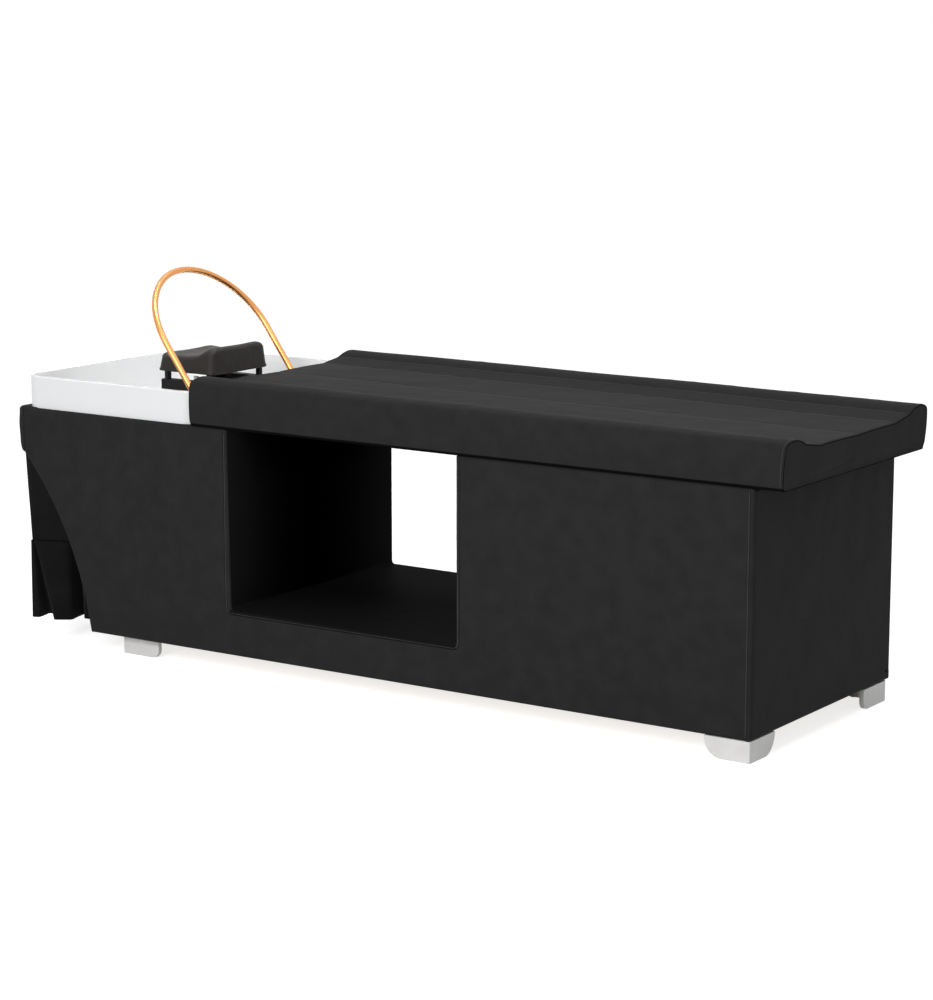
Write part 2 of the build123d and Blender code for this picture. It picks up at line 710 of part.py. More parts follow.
# Hinge brackets on the basin's neck wall, their pins and screws
for name, side in (("arch_bracket_front", -1), ("arch_bracket_rear", 1)):
    with BuildPart() as arch_bracket:
        with BuildSketch(Plane.XZ.offset(-bracket_in)):
            with Locations((hinge_x, hinge_height)):
                Circle(knuckle_radius)
            with Locations(((hinge_x + bowl_foot_x) / 2, hinge_height)):
                Rectangle(hinge_setback, 2 * knuckle_radius)
            with Locations((hinge_x, hinge_height)):
                Circle(hinge_pin_radius, mode=Mode.SUBTRACT)
        extrude(amount=-bracket_plate)
        fill_box(
            (bowl_foot_x - bracket_plate, bracket_in, hinge_height - bracket_height / 2),
            (bowl_foot_x, bracket_out + bracket_flange, hinge_height + bracket_height / 2),
        )
        with Locations(*[(bowl_foot_x, bracket_screw_y, z) for z in bracket_screw_zs]):
            Cylinder(bracket_screw_radius + screw_gap, 2 * bracket_plate + overrun, rotation=(0, 90, 0),
                     mode=Mode.SUBTRACT)
        if side < 0:
            mirror(about=Plane.XZ, mode=Mode.REPLACE)
    arch_bracket.part.label = name
    export_step(arch_bracket.part, f"parts/{name}.step")

cap_in = arch_half - knuckle_width / 2 - bracket_gap - hinge_cap
with BuildPart() as hinge_pins:
    for side in (-1, 1):
        with Locations((hinge_x, side * (cap_in + bracket_out) / 2, hinge_height)):
            Cylinder(hinge_pin_radius, bracket_out - cap_in, rotation=(90, 0, 0))
        with Locations((hinge_x, side * (cap_in + hinge_cap / 2), hinge_height)):
            Cylinder(hinge_cap_radius, hinge_cap, rotation=(90, 0, 0))
    with Locations((hinge_x, bracket_out, hinge_height)):
        Cylinder(feed_radius - feed_wall, 2 * (bracket_out - arch_half) + knuckle_width, rotation=(90, 0, 0),
                 mode=Mode.SUBTRACT)
hinge_pins.part.label = "hinge_pins"
export_step(hinge_pins.part, "parts/hinge_pins.step")

with BuildPart() as bracket_screws:
    for y, z in bracket_screw_places:
        with Locations((bowl_foot_x - bracket_plate, y, z)):
            Cylinder(bracket_screw_head_radius, bracket_screw_head, rotation=(0, -90, 0),
                     align=(Align.CENTER, Align.CENTER, Align.MIN))
            Cylinder(bracket_screw_radius, bracket_plate + basin_wall + board + bracket_screw_tail,
                     rotation=(0, 90, 0), align=(Align.CENTER, Align.CENTER, Align.MIN))
bracket_screws.part.label = "bracket_screws"
export_step(bracket_screws.part, "parts/bracket_screws.step")

nipple_top = hinge_height - feed_drop + nipple_length
with BuildPart() as arch_feed:
    with BuildLine() as feed_route:
        FilletPolyline((hinge_x, bracket_out, hinge_height), (hinge_x, feed_y, hinge_height),
                       (feed_end_x, feed_y, hinge_height), (feed_end_x, feed_y, nipple_top), radius=feed_bend)
    with BuildSketch(Plane(origin=feed_route.line @ 0, z_dir=feed_route.line % 0)):
        Circle(feed_radius)
        Circle(feed_radius - feed_wall, mode=Mode.SUBTRACT)
    sweep()
    with Locations((feed_end_x, feed_y, nipple_top)):
        Cylinder(nipple_radius, nipple_length, align=(Align.CENTER, Align.CENTER, Align.MAX))
        Cylinder(feed_radius - feed_wall, 3 * nipple_length, align=(Align.CENTER, Align.CENTER, Align.MAX),
                 mode=Mode.SUBTRACT)
arch_feed.part.label = "arch_feed"
export_step(arch_feed.part, "parts/arch_feed.step")

with BuildPart() as feed_locknut:
    with BuildSketch(Plane.YZ.offset(bearer_foot_x)):
        with Locations((feed_y, hinge_height)):
            RegularPolygon(locknut_radius, 6)
            Circle(feed_radius + screw_gap, mode=Mode.SUBTRACT)
    extrude(amount=locknut)
feed_locknut.part.label = "feed_locknut"
export_step(feed_locknut.part, "parts/feed_locknut.step")

# The arch itself, in its own tilted plane: two legs, two side bends and a flatter top bend
tilt = radians(arch_tilt)
arch_plane = Plane(origin=(hinge_x, 0, hinge_height), x_dir=(0, 1, 0), z_dir=(cos(tilt), 0, sin(tilt)))
top_drop = (arch_crown_half**2 - arch_crown_rise**2) / (2 * arch_crown_rise)
top_radius = arch_rise + top_drop
bend_x = arch_crown_half * top_radius / hypot(arch_crown_half, top_drop)
bend_y = top_drop * top_radius / hypot(arch_crown_half, top_drop) - top_drop
with BuildPart() as arch_tube:
    with BuildLine(arch_plane) as arch_route:
        Line((-arch_half, 0), (-arch_half, arch_leg))
        TangentArc((-arch_half, arch_leg), (-bend_x, arch_leg + bend_y), tangent=(0, 1))
        ThreePointArc((-bend_x, arch_leg + bend_y), (0, arch_leg + arch_rise), (bend_x, arch_leg + bend_y))
        TangentArc((arch_half, arch_leg), (bend_x, arch_leg + bend_y), tangent=(0, 1))
        Line((arch_half, arch_leg), (arch_half, 0))
    with BuildSketch(Plane(origin=arch_route.wires()[0] @ 0, z_dir=arch_route.wires()[0] % 0)):
        Circle(arch_tube_radius)
        Circle(arch_tube_radius - arch_tube_wall, mode=Mode.SUBTRACT)
    sweep()
    with Locations((hinge_x, 0, hinge_height)):
        Cylinder(knuckle_radius, 2 * half_width, rotation=(90, 0, 0), mode=Mode.SUBTRACT)
    # Spray holes along the inside of the top bend
    for place in range(spray_holes):
        turn = radians(-spray_spread / 2 + spray_spread * place / (spray_holes - 1))
        reach = top_radius - arch_tube_radius
        across, up = reach * sin(turn), reach * cos(turn)
        spot = arch_plane.from_local_coords((across, arch_leg - top_drop + up, 0))
        bend_centre = arch_plane.from_local_coords((0, arch_leg - top_drop, 0))
        with Locations(Plane(origin=spot, z_dir=spot - bend_centre)):
            Cylinder(spray_hole_radius, 2 * arch_tube_wall + arch_tube_radius, mode=Mode.SUBTRACT)
arch_tube.part.label = "arch_tube"
export_step(arch_tube.part, "parts/arch_tube.step")

with BuildPart() as arch_knuckles:
    for side in (-1, 1):
        with Locations((hinge_x, side * arch_half, hinge_height)):
            Cylinder(knuckle_radius, knuckle_width, rotation=(90, 0, 0))
            Cylinder(hinge_pin_radius + run_gap, knuckle_width + overrun, rotation=(90, 0, 0),
                     mode=Mode.SUBTRACT)
arch_knuckles.part.label = "arch_knuckles"
export_step(arch_knuckles.part, "parts/arch_knuckles.step")

# Lift-out stand for the head: housing with post sockets, pump inside it, nozzle on top
stand_from_neck = 112.0
stand_length = 177.0
stand_half = 108.0
stand_below_rim = 16.0
stand_wall = 5.0
stand_radius = 10.0
stand_pad = 3.0
stand_pad_radius = 11.0
socket_block = 22.0
socket_depth = 85.0
stand_window = 80.0
post = 12.0
post_head_inset = 19.0
slot_count = 7
slot_width = 4.0
slot_height = 30.0
slot_pitch = 14.0
slot_z = 25.0
stand_low = basin_floor + seat_gap + stand_pad
stand_top = basin_top - stand_below_rim
stand_foot_x = bowl_foot_x - stand_from_neck
stand_head_x = stand_foot_x - stand_length
post_inset = stand_wall + seat_gap + post / 2
post_y = stand_half - post_inset
post_xs = (stand_head_x + post_head_inset, stand_foot_x - post_inset)
post_places = [(x, y) for x in post_xs for y in (-post_y, post_y)]

# Headrest pillow, above the stand on four posts
pillow_clear = 23.0
pillow_head_overhang = 3.0
pillow_neck_overhang = 8.0
pillow_half = 113.0
pillow_neck_rise = 66.0
pillow_head_rise = 46.0
pillow_dip = 6.0
pillow_corner = 14.0
pillow_lean = 3.0
pillow_hollow = 5.0
pillow_edge_radius = 5.0
pillow_slot_length = 22.0
pillow_slot_width = 5.0
pillow_slot_depth = 12.0
pillow_slot_setback = 85.0
pillow_slot_step = 15.0
pillow_slot_ys = (24.0, 52.0)
carrier = 6.0
carrier_inset = 4.0
post_low = stand_top - socket_depth + seat_gap
pillow_low = stand_top + pillow_clear
pillow_head_x = stand_head_x - pillow_head_overhang
pillow_neck_x = stand_foot_x + pillow_neck_overhang
carrier_low = (pillow_head_x + carrier_inset, carrier_inset - pillow_half, pillow_low)
carrier_high = (pillow_neck_x - carrier_inset, pillow_half - carrier_inset, pillow_low + carrier)

# Circulation pump inside the stand
pump_setback = 111.0
pump_y = -75.0
pump_length = 60.0
pump_width = 50.0
pump_height = 62.0
pump_radius = 6.0
strainer_thick = 8.0
strainer_inset = 6.0
strainer_slots = 4
riser_y = -94.0
riser_radius = 6.0
riser_bore = 4.0
nozzle_radius = 7.0
nozzle_height = 14.0
nozzle_spigot = 8.0
pump_x = stand_head_x + pump_setback

with BuildPart() as stand_housing:
    add(extrude(rounded_rectangle(Plane.XY.offset(stand_low), (stand_head_x, -stand_half),
                                  (stand_foot_x, stand_half), stand_radius), amount=stand_top - stand_low))
    fillet(stand_housing.edges().group_by(Axis.Z)[-1], stand_wall / 2)
    cavity_head, cavity_foot = stand_head_x + stand_wall, stand_foot_x - stand_wall
    cavity_half = stand_half - stand_wall
    fill_box((cavity_head, -cavity_half, stand_low), (cavity_foot, cavity_half, stand_top - stand_wall),
             mode=Mode.SUBTRACT)
    socket_low = stand_top - socket_depth - stand_wall
    for low_x, high_x in ((cavity_head, post_xs[0] + socket_block / 2),
                          (cavity_foot - socket_block, cavity_foot)):
        for y in (-cavity_half, cavity_half - socket_block):
            fill_box((low_x, y, socket_low), (high_x, y + socket_block, stand_top - stand_wall))
    for x, y in post_places:
        fill_box((x - post / 2 - seat_gap, y - post / 2 - seat_gap, stand_top - socket_depth),
                 (x + post / 2 + seat_gap, y + post / 2 + seat_gap, stand_top + overrun), mode=Mode.SUBTRACT)
    # The top and the upper head wall are open between the post sockets
    fill_box((stand_head_x - overrun, socket_block - cavity_half, stand_top - stand_window),
             (cavity_foot - socket_block, cavity_half - socket_block, stand_top + overrun),
             mode=Mode.SUBTRACT)
    with Locations((stand_head_x, 0, stand_low + slot_z + slot_height / 2)):
        with GridLocations(0, slot_pitch, 1, slot_count):
            Box(2 * stand_wall + overrun, slot_width, slot_height, mode=Mode.SUBTRACT)
    with Locations((pump_x, riser_y, stand_top)):
        Cylinder(riser_radius + screw_gap, 2 * stand_wall + overrun, mode=Mode.SUBTRACT)
stand_housing.part.label = "stand_housing"
export_step(stand_housing.part, "parts/stand_housing.step")

with BuildPart() as stand_pads:
    for x in (stand_head_x + stand_radius + stand_wall, stand_foot_x - stand_radius - stand_wall):
        for side in (-1, 1):
            with Locations((x, side * (stand_half - stand_wall - stand_pad_radius / 2), stand_low)):
                Cylinder(stand_pad_radius, stand_pad, align=(Align.CENTER, Align.CENTER, Align.MAX))
stand_pads.part.label = "stand_pads"
export_step(stand_pads.part, "parts/stand_pads.step")

pump_head_x = pump_x - pump_length / 2
with BuildPart() as pump_body:
    fill_box((pump_head_x, pump_y - pump_width / 2, stand_low),
             (pump_head_x + pump_length, pump_y + pump_width / 2, stand_low + pump_height))
    fillet(pump_body.edges().filter_by(Axis.Z), pump_radius)
pump_body.part.label = "pump_body"
export_step(pump_body.part, "parts/pump_body.step")

with BuildPart() as pump_strainer:
    fill_box((pump_head_x - strainer_thick, pump_y - pump_width / 2 + strainer_inset, stand_low),
             (pump_head_x, pump_y + pump_width / 2 - strainer_inset,
              stand_low + pump_height - strainer_inset))
    with Locations((pump_head_x - strainer_thick, pump_y, stand_low + pump_height / 2)):
        with GridLocations(0, (pump_width - 2 * strainer_inset) / (strainer_slots + 1), 1, strainer_slots):
            Box(strainer_thick, slot_width / 2, slot_height, mode=Mode.SUBTRACT)
pump_strainer.part.label = "pump_strainer"
export_step(pump_strainer.part, "parts/pump_strainer.step")

with BuildPart() as pump_riser:
    with Locations((pump_x, riser_y, stand_low + pump_height)):
        Cylinder(riser_radius, stand_top - nozzle_spigot - stand_low - pump_height,
                 align=(Align.CENTER, Align.CENTER, Align.MIN))
        Cylinder(riser_bore, 2 * stand_top, mode=Mode.SUBTRACT)
pump_riser.part.label = "pump_riser"
export_step(pump_riser.part, "parts/pump_riser.step")

with BuildPart() as rinse_nozzle:
    with Locations((pump_x, riser_y, stand_top)):
        Cylinder(nozzle_radius, nozzle_height, align=(Align.CENTER, Align.CENTER, Align.MIN))
        Cylinder(riser_radius, nozzle_spigot, align=(Align.CENTER, Align.CENTER, Align.MAX))
    fillet(rinse_nozzle.edges().group_by(Axis.Z)[-1], nozzle_radius / 3)
    with Locations((pump_x, riser_y, stand_top)):
        Cylinder(riser_bore / 2, 2 * nozzle_height + overrun, mode=Mode.SUBTRACT)
rinse_nozzle.part.label = "rinse_nozzle"
export_step(rinse_nozzle.part, "parts/rinse_nozzle.step")

with BuildPart() as headrest_posts:
    for x, y in post_places:
        fill_box((x - post / 2, y - post / 2, post_low), (x + post / 2, y + post / 2, pillow_low))
headrest_posts.part.label = "headrest_posts"
export_step(headrest_posts.part, "parts/headrest_posts.step")

with BuildPart() as headrest_carrier:
    fill_box(carrier_low, carrier_high)
headrest_carrier.part.label = "headrest_carrier"
export_step(headrest_carrier.part, "parts/headrest_carrier.step")


def pillow_section(y, dip):
    # The pillow's side view: flat below, a low head edge, a hollow and a raised neck roll
    neck_z = pillow_low + pillow_neck_rise - dip
    head_z = pillow_low + pillow_head_rise - dip
    bevel = pillow_corner * (1 - sin(radians(45)))
    neck_out, head_out = pillow_neck_x - pillow_lean, pillow_head_x + pillow_lean
    neck_in, head_in = neck_out - pillow_corner, head_out + pillow_corner
    with BuildSketch(Plane.XZ.offset(-y)) as section:
        with BuildLine():
            Polyline((head_out, head_z - pillow_corner), (pillow_head_x, pillow_low),
                     (pillow_neck_x, pillow_low), (neck_out, neck_z - pillow_corner))
            ThreePointArc((neck_out, neck_z - pillow_corner), (neck_out - bevel, neck_z - bevel),
                          (neck_in, neck_z))
            ThreePointArc((neck_in, neck_z), ((neck_in + head_in) / 2, (neck_z + head_z) / 2 - pillow_hollow),
                          (head_in, head_z))
            ThreePointArc((head_in, head_z), (head_out + bevel, head_z - bevel),
                          (head_out, head_z - pillow_corner))
        make_face()
    return section.sketch


with BuildPart() as headrest_pillow:
    loft([pillow_section(y, pillow_dip * cos(radians(90) * y / pillow_half))
          for y in (-pillow_half, -pillow_half / 2, 0, pillow_half / 2, pillow_half)])
    fillet(headrest_pillow.faces().filter_by(Axis.Y).edges().filter_by(
        lambda edge: edge.center().Z > pillow_low + tiny), pillow_edge_radius)
    fill_box(carrier_low, carrier_high, mode=Mode.SUBTRACT)
    for i, y in enumerate(pillow_slot_ys):
        slot_x = stand_foot_x - pillow_slot_setback + i * pillow_slot_step
        fill_box((slot_x - pillow_slot_length / 2, y - pillow_slot_width / 2, pillow_low + pillow_slot_depth),
                 (slot_x + pillow_slot_length / 2, y + pillow_slot_width / 2, pillow_low + pillow_neck_rise),
                 mode=Mode.SUBTRACT)
headrest_pillow.part.label = "headrest_pillow"
export_step(headrest_pillow.part, "parts/headrest_pillow.step")

# Curtain over the plumbing bay: a flat yoke sewn to a box-pleated skirt
cloth = 2.0
curtain_drop = 234.0
curtain_clear = 12.0
curtain_setback = 16.0
curtain_draw = 7.0
curtain_flare = 3.0
curtain_return = 144.0
curtain_pinch = 61.0
tack_height = 10.0
fold_depth = 50.0
fold_count = 5
fold_seam_share = 0.03
fold_hem_share = 0.24
curtain_seam_z = band_bottom - curtain_drop
curtain_hem_z = foot_height + curtain_clear
yoke_x = head_x + curtain_setback
yoke_half = bay_half - cloth / 2
seam_x, seam_half = yoke_x + curtain_draw, yoke_half - curtain_draw
hem_x, hem_half = seam_x - curtain_flare, seam_half + curtain_flare
return_x = yoke_x + curtain_return


def cloth_face(z, points):
    # A strip of cloth in plan: the points are its middle line, and each corner is mitred
    ends = []
    for side in (-1, 1):
        edge = []
        for i, (x, y) in enumerate(points):
            runs = [(points[j + 1][0] - points[j][0], points[j + 1][1] - points[j][1])
                    for j in (i - 1, i) if 0 <= j < len(points) - 1]
            normals = [(-dy / hypot(dx, dy), dx / hypot(dx, dy)) for dx, dy in runs]
            nx, ny = sum(n[0] for n in normals) / len(normals), sum(n[1] for n in normals) / len(normals)
            reach = side * cloth / 2 / (nx * nx + ny * ny)
            edge.append((x + reach * nx, y + reach * ny))
        ends.append(edge)
    # Made as a bare face, because a sketch would join the runs that lie in line at the seam
    outline = ends[0] + list(reversed(ends[1]))
    return Face(Wire.make_polygon([(x, y, z) for x, y in outline], close=True))


def u_path(front_half):
    # A path from the front return round the head face to the far return
    return front_half + [(x, -y) for x, y in reversed(front_half)]


with BuildPart() as curtain_yoke:
    loft([cloth_face(band_bottom, u_path([(return_x, -yoke_half), (yoke_x, -yoke_half)])),
          cloth_face(curtain_seam_z, u_path([(seam_x + curtain_return, curtain_pinch - seam_half),
                                             (seam_x, -seam_half)]))],
         ruled=True)
curtain_yoke.part.label = "curtain_yoke"
export_step(curtain_yoke.part, "parts/curtain_yoke.step")


def head_folds(x, half_y, gap_share, depth):
    # The middle line of the head face, with an inverted pleat between each two flat panels
    points = [(x, -half_y)]
    panel = 2 * half_y / fold_count
    for i in range(1, fold_count):
        y = i * panel - half_y
        points += [(x, y - gap_share * panel), (x + depth, y), (x, y + gap_share * panel)]
    return points + [(x, half_y)]


def return_folds(x, half_y, shares):
    # The middle line of the front return: shares of its length and of its pinch, from its end
    return [(x + curtain_return * run_share, curtain_pinch * in_share - half_y)
            for run_share, in_share in shares]


return_seam_shares = ((1.0, 1.0), (0.66, 0.66), (0.62, 0.62), (0.06, 0.06), (0.03, 0.03))
return_hem_shares = ((1.0, 0.95), (0.73, 0.88), (0.68, 0.05), (0.52, 0.05), (0.07, 0.95))
seam_front = return_folds(seam_x, seam_half, return_seam_shares)
hem_front = return_folds(hem_x, hem_half, return_hem_shares)
seam_rear = u_path(seam_front)[len(seam_front):]
hem_rear = u_path(hem_front)[len(hem_front):]
seam_path = seam_front + head_folds(seam_x, seam_half, fold_seam_share, 0) + seam_rear
hem_path = hem_front + head_folds(hem_x, hem_half, fold_hem_share, fold_depth) + hem_rear
with BuildPart() as curtain_skirt:
    loft([cloth_face(curtain_seam_z, seam_path), cloth_face(curtain_hem_z, hem_path)], ruled=True)
curtain_skirt.part.label = "curtain_skirt"
export_step(curtain_skirt.part, "parts/curtain_skirt.step")

with BuildPart() as curtain_batten:
    fill_box((yoke_x + cloth / 2 + 2 * seat_gap, batten - bay_half, band_bottom - tack_height),
             (basin_head_x, bay_half - batten, band_bottom))
curtain_batten.part.label = "curtain_batten"
export_step(curtain_batten.part, "parts/curtain_batten.step")
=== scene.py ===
import json
from cmath import phase, rect
from itertools import accumulate
from math import asin, atan2, ceil, cos, degrees, dist, exp, hypot, pi, radians, sin, sqrt

import bmesh
import bpy
import numpy as np
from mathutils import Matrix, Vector, noise
from mathutils.geometry import delaunay_2d_cdt


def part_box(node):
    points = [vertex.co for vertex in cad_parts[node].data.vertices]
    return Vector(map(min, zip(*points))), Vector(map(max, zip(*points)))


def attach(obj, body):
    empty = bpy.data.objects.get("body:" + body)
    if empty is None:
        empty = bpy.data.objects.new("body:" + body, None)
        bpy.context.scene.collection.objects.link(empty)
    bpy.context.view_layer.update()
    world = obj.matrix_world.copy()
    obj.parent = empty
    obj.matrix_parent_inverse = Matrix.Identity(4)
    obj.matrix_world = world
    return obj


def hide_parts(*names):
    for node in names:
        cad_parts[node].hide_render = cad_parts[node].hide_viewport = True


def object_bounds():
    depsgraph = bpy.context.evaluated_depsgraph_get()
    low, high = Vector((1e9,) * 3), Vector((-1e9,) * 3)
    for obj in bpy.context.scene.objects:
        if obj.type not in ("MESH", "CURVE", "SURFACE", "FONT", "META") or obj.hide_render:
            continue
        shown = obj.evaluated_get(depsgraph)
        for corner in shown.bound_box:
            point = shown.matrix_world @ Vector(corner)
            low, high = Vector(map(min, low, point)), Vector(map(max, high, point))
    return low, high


# Everything is in metres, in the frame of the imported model: +X to the foot end, +Y to the far side.
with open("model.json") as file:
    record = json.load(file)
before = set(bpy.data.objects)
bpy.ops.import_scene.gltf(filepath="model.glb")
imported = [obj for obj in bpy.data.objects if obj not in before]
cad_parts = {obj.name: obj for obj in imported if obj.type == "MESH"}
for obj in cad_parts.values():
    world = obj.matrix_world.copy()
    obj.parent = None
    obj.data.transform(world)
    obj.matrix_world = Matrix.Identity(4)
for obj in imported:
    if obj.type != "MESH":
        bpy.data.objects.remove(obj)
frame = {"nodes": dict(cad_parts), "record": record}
nodes = frame["nodes"]
cadBox = [list(corner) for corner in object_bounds()]
print("frame loaded with", len(nodes), "nodes")

# Camera
camera = {
    "place": (3.92133, -5.68754, 1.70380),
    "turn": (79.425, -0.120, 33.4355),
    "lens": 101.727,
    "sensor": 36.0,
    "shift": (-0.03857, 0.00753),
}
cameraData = bpy.data.cameras.new("camera")
cameraData.sensor_width = camera["sensor"]
cameraData.lens = camera["lens"]
cameraData.shift_x, cameraData.shift_y = camera["shift"]
cameraObject = bpy.data.objects.new("camera", cameraData)
cameraObject.location = camera["place"]
cameraObject.rotation_euler = [radians(angle) for angle in camera["turn"]]
bpy.context.scene.collection.objects.link(cameraObject)
bpy.context.scene.camera = cameraObject
bpy.context.scene.view_settings.view_transform = "Standard"
print("camera placed")


# Shader sockets as Python values
class Wire:
    def __init__(self, graph, output):
        self.graph, self.output = graph, output

    def math(self, operation, *values):
        return self.graph.make("ShaderNodeMath", {"operation": operation}, dict(enumerate(values)))

    def __add__(self, other):
        return self.math("ADD", self, other)

    def __sub__(self, other):
        return self.math("SUBTRACT", self, other)

    def __rsub__(self, other):
        return self.math("SUBTRACT", other, self)

    def __mul__(self, other):
        return self.math("MULTIPLY", self, other)

    def __rpow__(self, other):
        return self.math("POWER", other, self)

    __radd__ = __add__
    __rmul__ = __mul__

    def between(self, low, high):
        # 0 below low, 1 above high, and even in between
        return self.graph.make("ShaderNodeMapRange", {}, {"Value": self, "From Min": low, "From Max": high})


class Graph:
    # A node tree whose nodes are made from Python values
    def __init__(self, tree):
        self.tree = tree

    def make(self, kind, settings, sockets, out=0):
        node = self.tree.nodes.new(kind)
        for key, value in settings.items():
            setattr(node, key, value)
        for key, value in sockets.items():
            if isinstance(value, Wire):
                self.tree.links.new(value.output, node.inputs[key])
            else:
                node.inputs[key].default_value = value
        return Wire(self, node.outputs[out])

    def stageRay(self):
        # 1 or more where the stage itself is seen: by the camera, mirrored, or through clear plastic
        camera, glossy, through = (self.make("ShaderNodeLightPath", {}, {}, f"Is {kind} Ray")
                                   for kind in ("Camera", "Glossy", "Transmission"))
        return camera + glossy + through


class Finish(Graph):
    # One material: fixed shader values come first, and what varies is wired to its sockets
    def __init__(self, name, color, **fixed):
        self.material = bpy.data.materials.new(name)
        self.material.use_nodes = True
        super().__init__(self.material.node_tree)
        self.shader = self.tree.nodes["Principled BSDF"]
        self.color = (*color, 1.0)
        self.shader.inputs["Base Color"].default_value = self.color
        for key, value in fixed.items():
            self.shader.inputs[key.replace("_", " ")].default_value = value
        self.place = self.make("ShaderNodeTexCoord", {}, {}, "Object")

    def axis(self, k):
        return self.make("ShaderNodeSeparateXYZ", {}, {"Vector": self.place}, k)

    def stretched(self, x, y, z):
        return self.make("ShaderNodeMapping", {}, {"Vector": self.place, "Scale": (x, y, z)})

    def cloud(self, size, detail=2.0, place=None):
        # Soft noise whose patches are about size metres across
        sockets = {"Vector": place or self.place, "Scale": 1 / size, "Detail": detail, "Roughness": 0.55}
        return self.make("ShaderNodeTexNoise", {}, sockets, "Fac")

    def cells(self, size, feature="SMOOTH_F1"):
        sockets = {"Vector": self.place, "Scale": 1 / size}
        return self.make("ShaderNodeTexVoronoi", {"feature": feature}, sockets, "Distance")

    def mix(self, share, first, second):
        return self.make("ShaderNodeMix", {"data_type": "RGBA"}, {0: share, 6: first, 7: second}, 2)

    def shaded(self, share, low, high):
        # The base colour times low where share is 0, and times high where it is 1
        first, second = ([c * k for c in self.color[:3]] + [1.0] for k in (low, high))
        return self.mix(share, first, second)

    def wire(self, socket, value):
        self.tree.links.new(value.output, self.shader.inputs[socket])

    def rough(self, marks, low, high, swing, base):
        # The roughness goes from base up by swing as the marks go from low to high
        self.wire("Roughness", marks.between(low, high) * swing + base)

    def tint(self, marks, low, high, dark, light):
        self.wire("Base Color", self.shaded(marks.between(low, high), dark, light))

    def bump(self, *layers):
        # Layers of (height, depth in metres), from the broad to the fine
        normal = None
        for height, depth in layers:
            sockets = {"Height": height, "Distance": depth}
            if normal:
                sockets["Normal"] = normal
            normal = self.make("ShaderNodeBump", {}, sockets)
        self.wire("Normal", normal)


leatherLook = {"grain": 0.0013, "grainDepth": 0.00016, "creaseSize": 0.045, "creaseDepth": 0.0009,
               "waveSize": 0.16, "waveDepth": 0.006}


def leatherFinish(name, color, roughness, specular):
    finish = Finish(name, color, Roughness=roughness, Specular_IOR_Level=specular)
    grain = finish.cells(leatherLook["grain"])
    pores = finish.cloud(leatherLook["grain"] / 3, 1.0)
    wave = finish.cloud(leatherLook["waveSize"], 1.5)
    crease = finish.cloud(leatherLook["creaseSize"], 3.0)
    finish.tint(crease, 0.3, 0.7, 0.88, 1.12)
    finish.rough(crease, 0.2, 0.8, 0.10, roughness - 0.05)
    finish.bump((wave, leatherLook["waveDepth"]), (crease, leatherLook["creaseDepth"]),
                (grain + pores * 0.4, leatherLook["grainDepth"]))
    return finish.material


def liningShadeFinish(name, color, reach, specular):
    # The same leather with painted shade: its colour darkens towards the middle of the tunnel, and sooner
    # near its top.
    # mouth is the distance of the mouths from the bed's middle, reach how far in the colour holds.
    mouth, paleTop, darkTop = 0.345, 0.45, 0.61
    finish = Finish(name, color, Roughness=0.65, Specular_IOR_Level=specular)
    across, height = finish.axis(1), finish.axis(2)
    depth = (mouth - across.math("ABSOLUTE", across)) * (1 / reach)
    fall = depth * depth * (1 + 2 * height.between(paleTop, darkTop))
    # Painted shade: the colour falls off with depth into the tunnel
    finish.wire("Base Color", finish.shaded(exp(1) ** (fall * -1), 0.02, 1.0))
    finish.bump((finish.cells(leatherLook["grain"]), leatherLook["grainDepth"]))
    return finish.material


def clothFinish(name, color, seam):
    # seam is the height of the sewn line; the colour darkens in a band about it, painted shade for the seam's
    # shadow
    pitch, depth, seamHalf, shadeHalf = 0.0011, 0.0003, 0.0008, 0.0026
    finish = Finish(name, color, Roughness=0.85, Sheen_Weight=0.03, Specular_IOR_Level=0.05)
    sockets = {"Vector": finish.place, "Scale": 0.314 / pitch, "Distortion": 0.4, "Detail": 0.0}
    warp, weft = (finish.make("ShaderNodeTexWave", {"bands_direction": way}, sockets, "Fac") for way in "XZ")
    height = finish.axis(2) - seam
    seamShade = height.math("ABSOLUTE", height).between(seamHalf, shadeHalf)
    faded = finish.cloud(0.05, 3.0).between(0.3, 0.7)
    finish.wire("Base Color", finish.shaded(faded * 0.3 + seamShade * 0.7, 0.1, 1.2))
    finish.bump((finish.cloud(0.02, 2.0), 0.0008), (warp * weft, depth))
    return finish.material


def gelcoatFinish(name, color):
    finish = Finish(name, color, Roughness=0.16, Coat_Weight=0.5, Coat_Roughness=0.06, Specular_IOR_Level=0.5)
    finish.rough(finish.cloud(0.03, 4.0), 0.3, 0.75, 0.09, 0.12)
    finish.tint(finish.cloud(0.12, 2.0), 0.25, 0.75, 0.985, 1.0)
    finish.bump((finish.cloud(0.09, 1.0), 0.0012), (finish.cloud(0.004, 1.0), 0.00003))
    return finish.material


def metalFinish(name, color, roughness, brush):
    # Fine lines drawn along the piece, and faint handling marks
    finish = Finish(name, color, Metallic=1.0, Roughness=roughness)
    lines = finish.cloud(0.0006, 2.0, finish.stretched(*brush))
    marks = finish.cloud(0.018, 4.0)
    finish.wire("Roughness", lines * 0.08 + marks.between(0.35, 0.8) * 0.10 + (roughness - 0.06))
    finish.tint(marks, 0.3, 0.75, 0.94, 1.03)
    finish.bump((lines, 0.00002))
    return finish.material


def copperFinish(name, color, roughness):
    # Polished and lacquered tube, with faint clouding and the odd rubbed patch
    finish = Finish(name, color, Metallic=1.0, Roughness=roughness, Coat_Weight=0.1, Coat_Roughness=0.3)
    marks = finish.cloud(0.06, 2.0)
    finish.rough(marks, 0.3, 0.8, 0.06, roughness - 0.03)
    finish.tint(marks, 0.3, 0.75, 0.96, 1.03)
    return finish.material


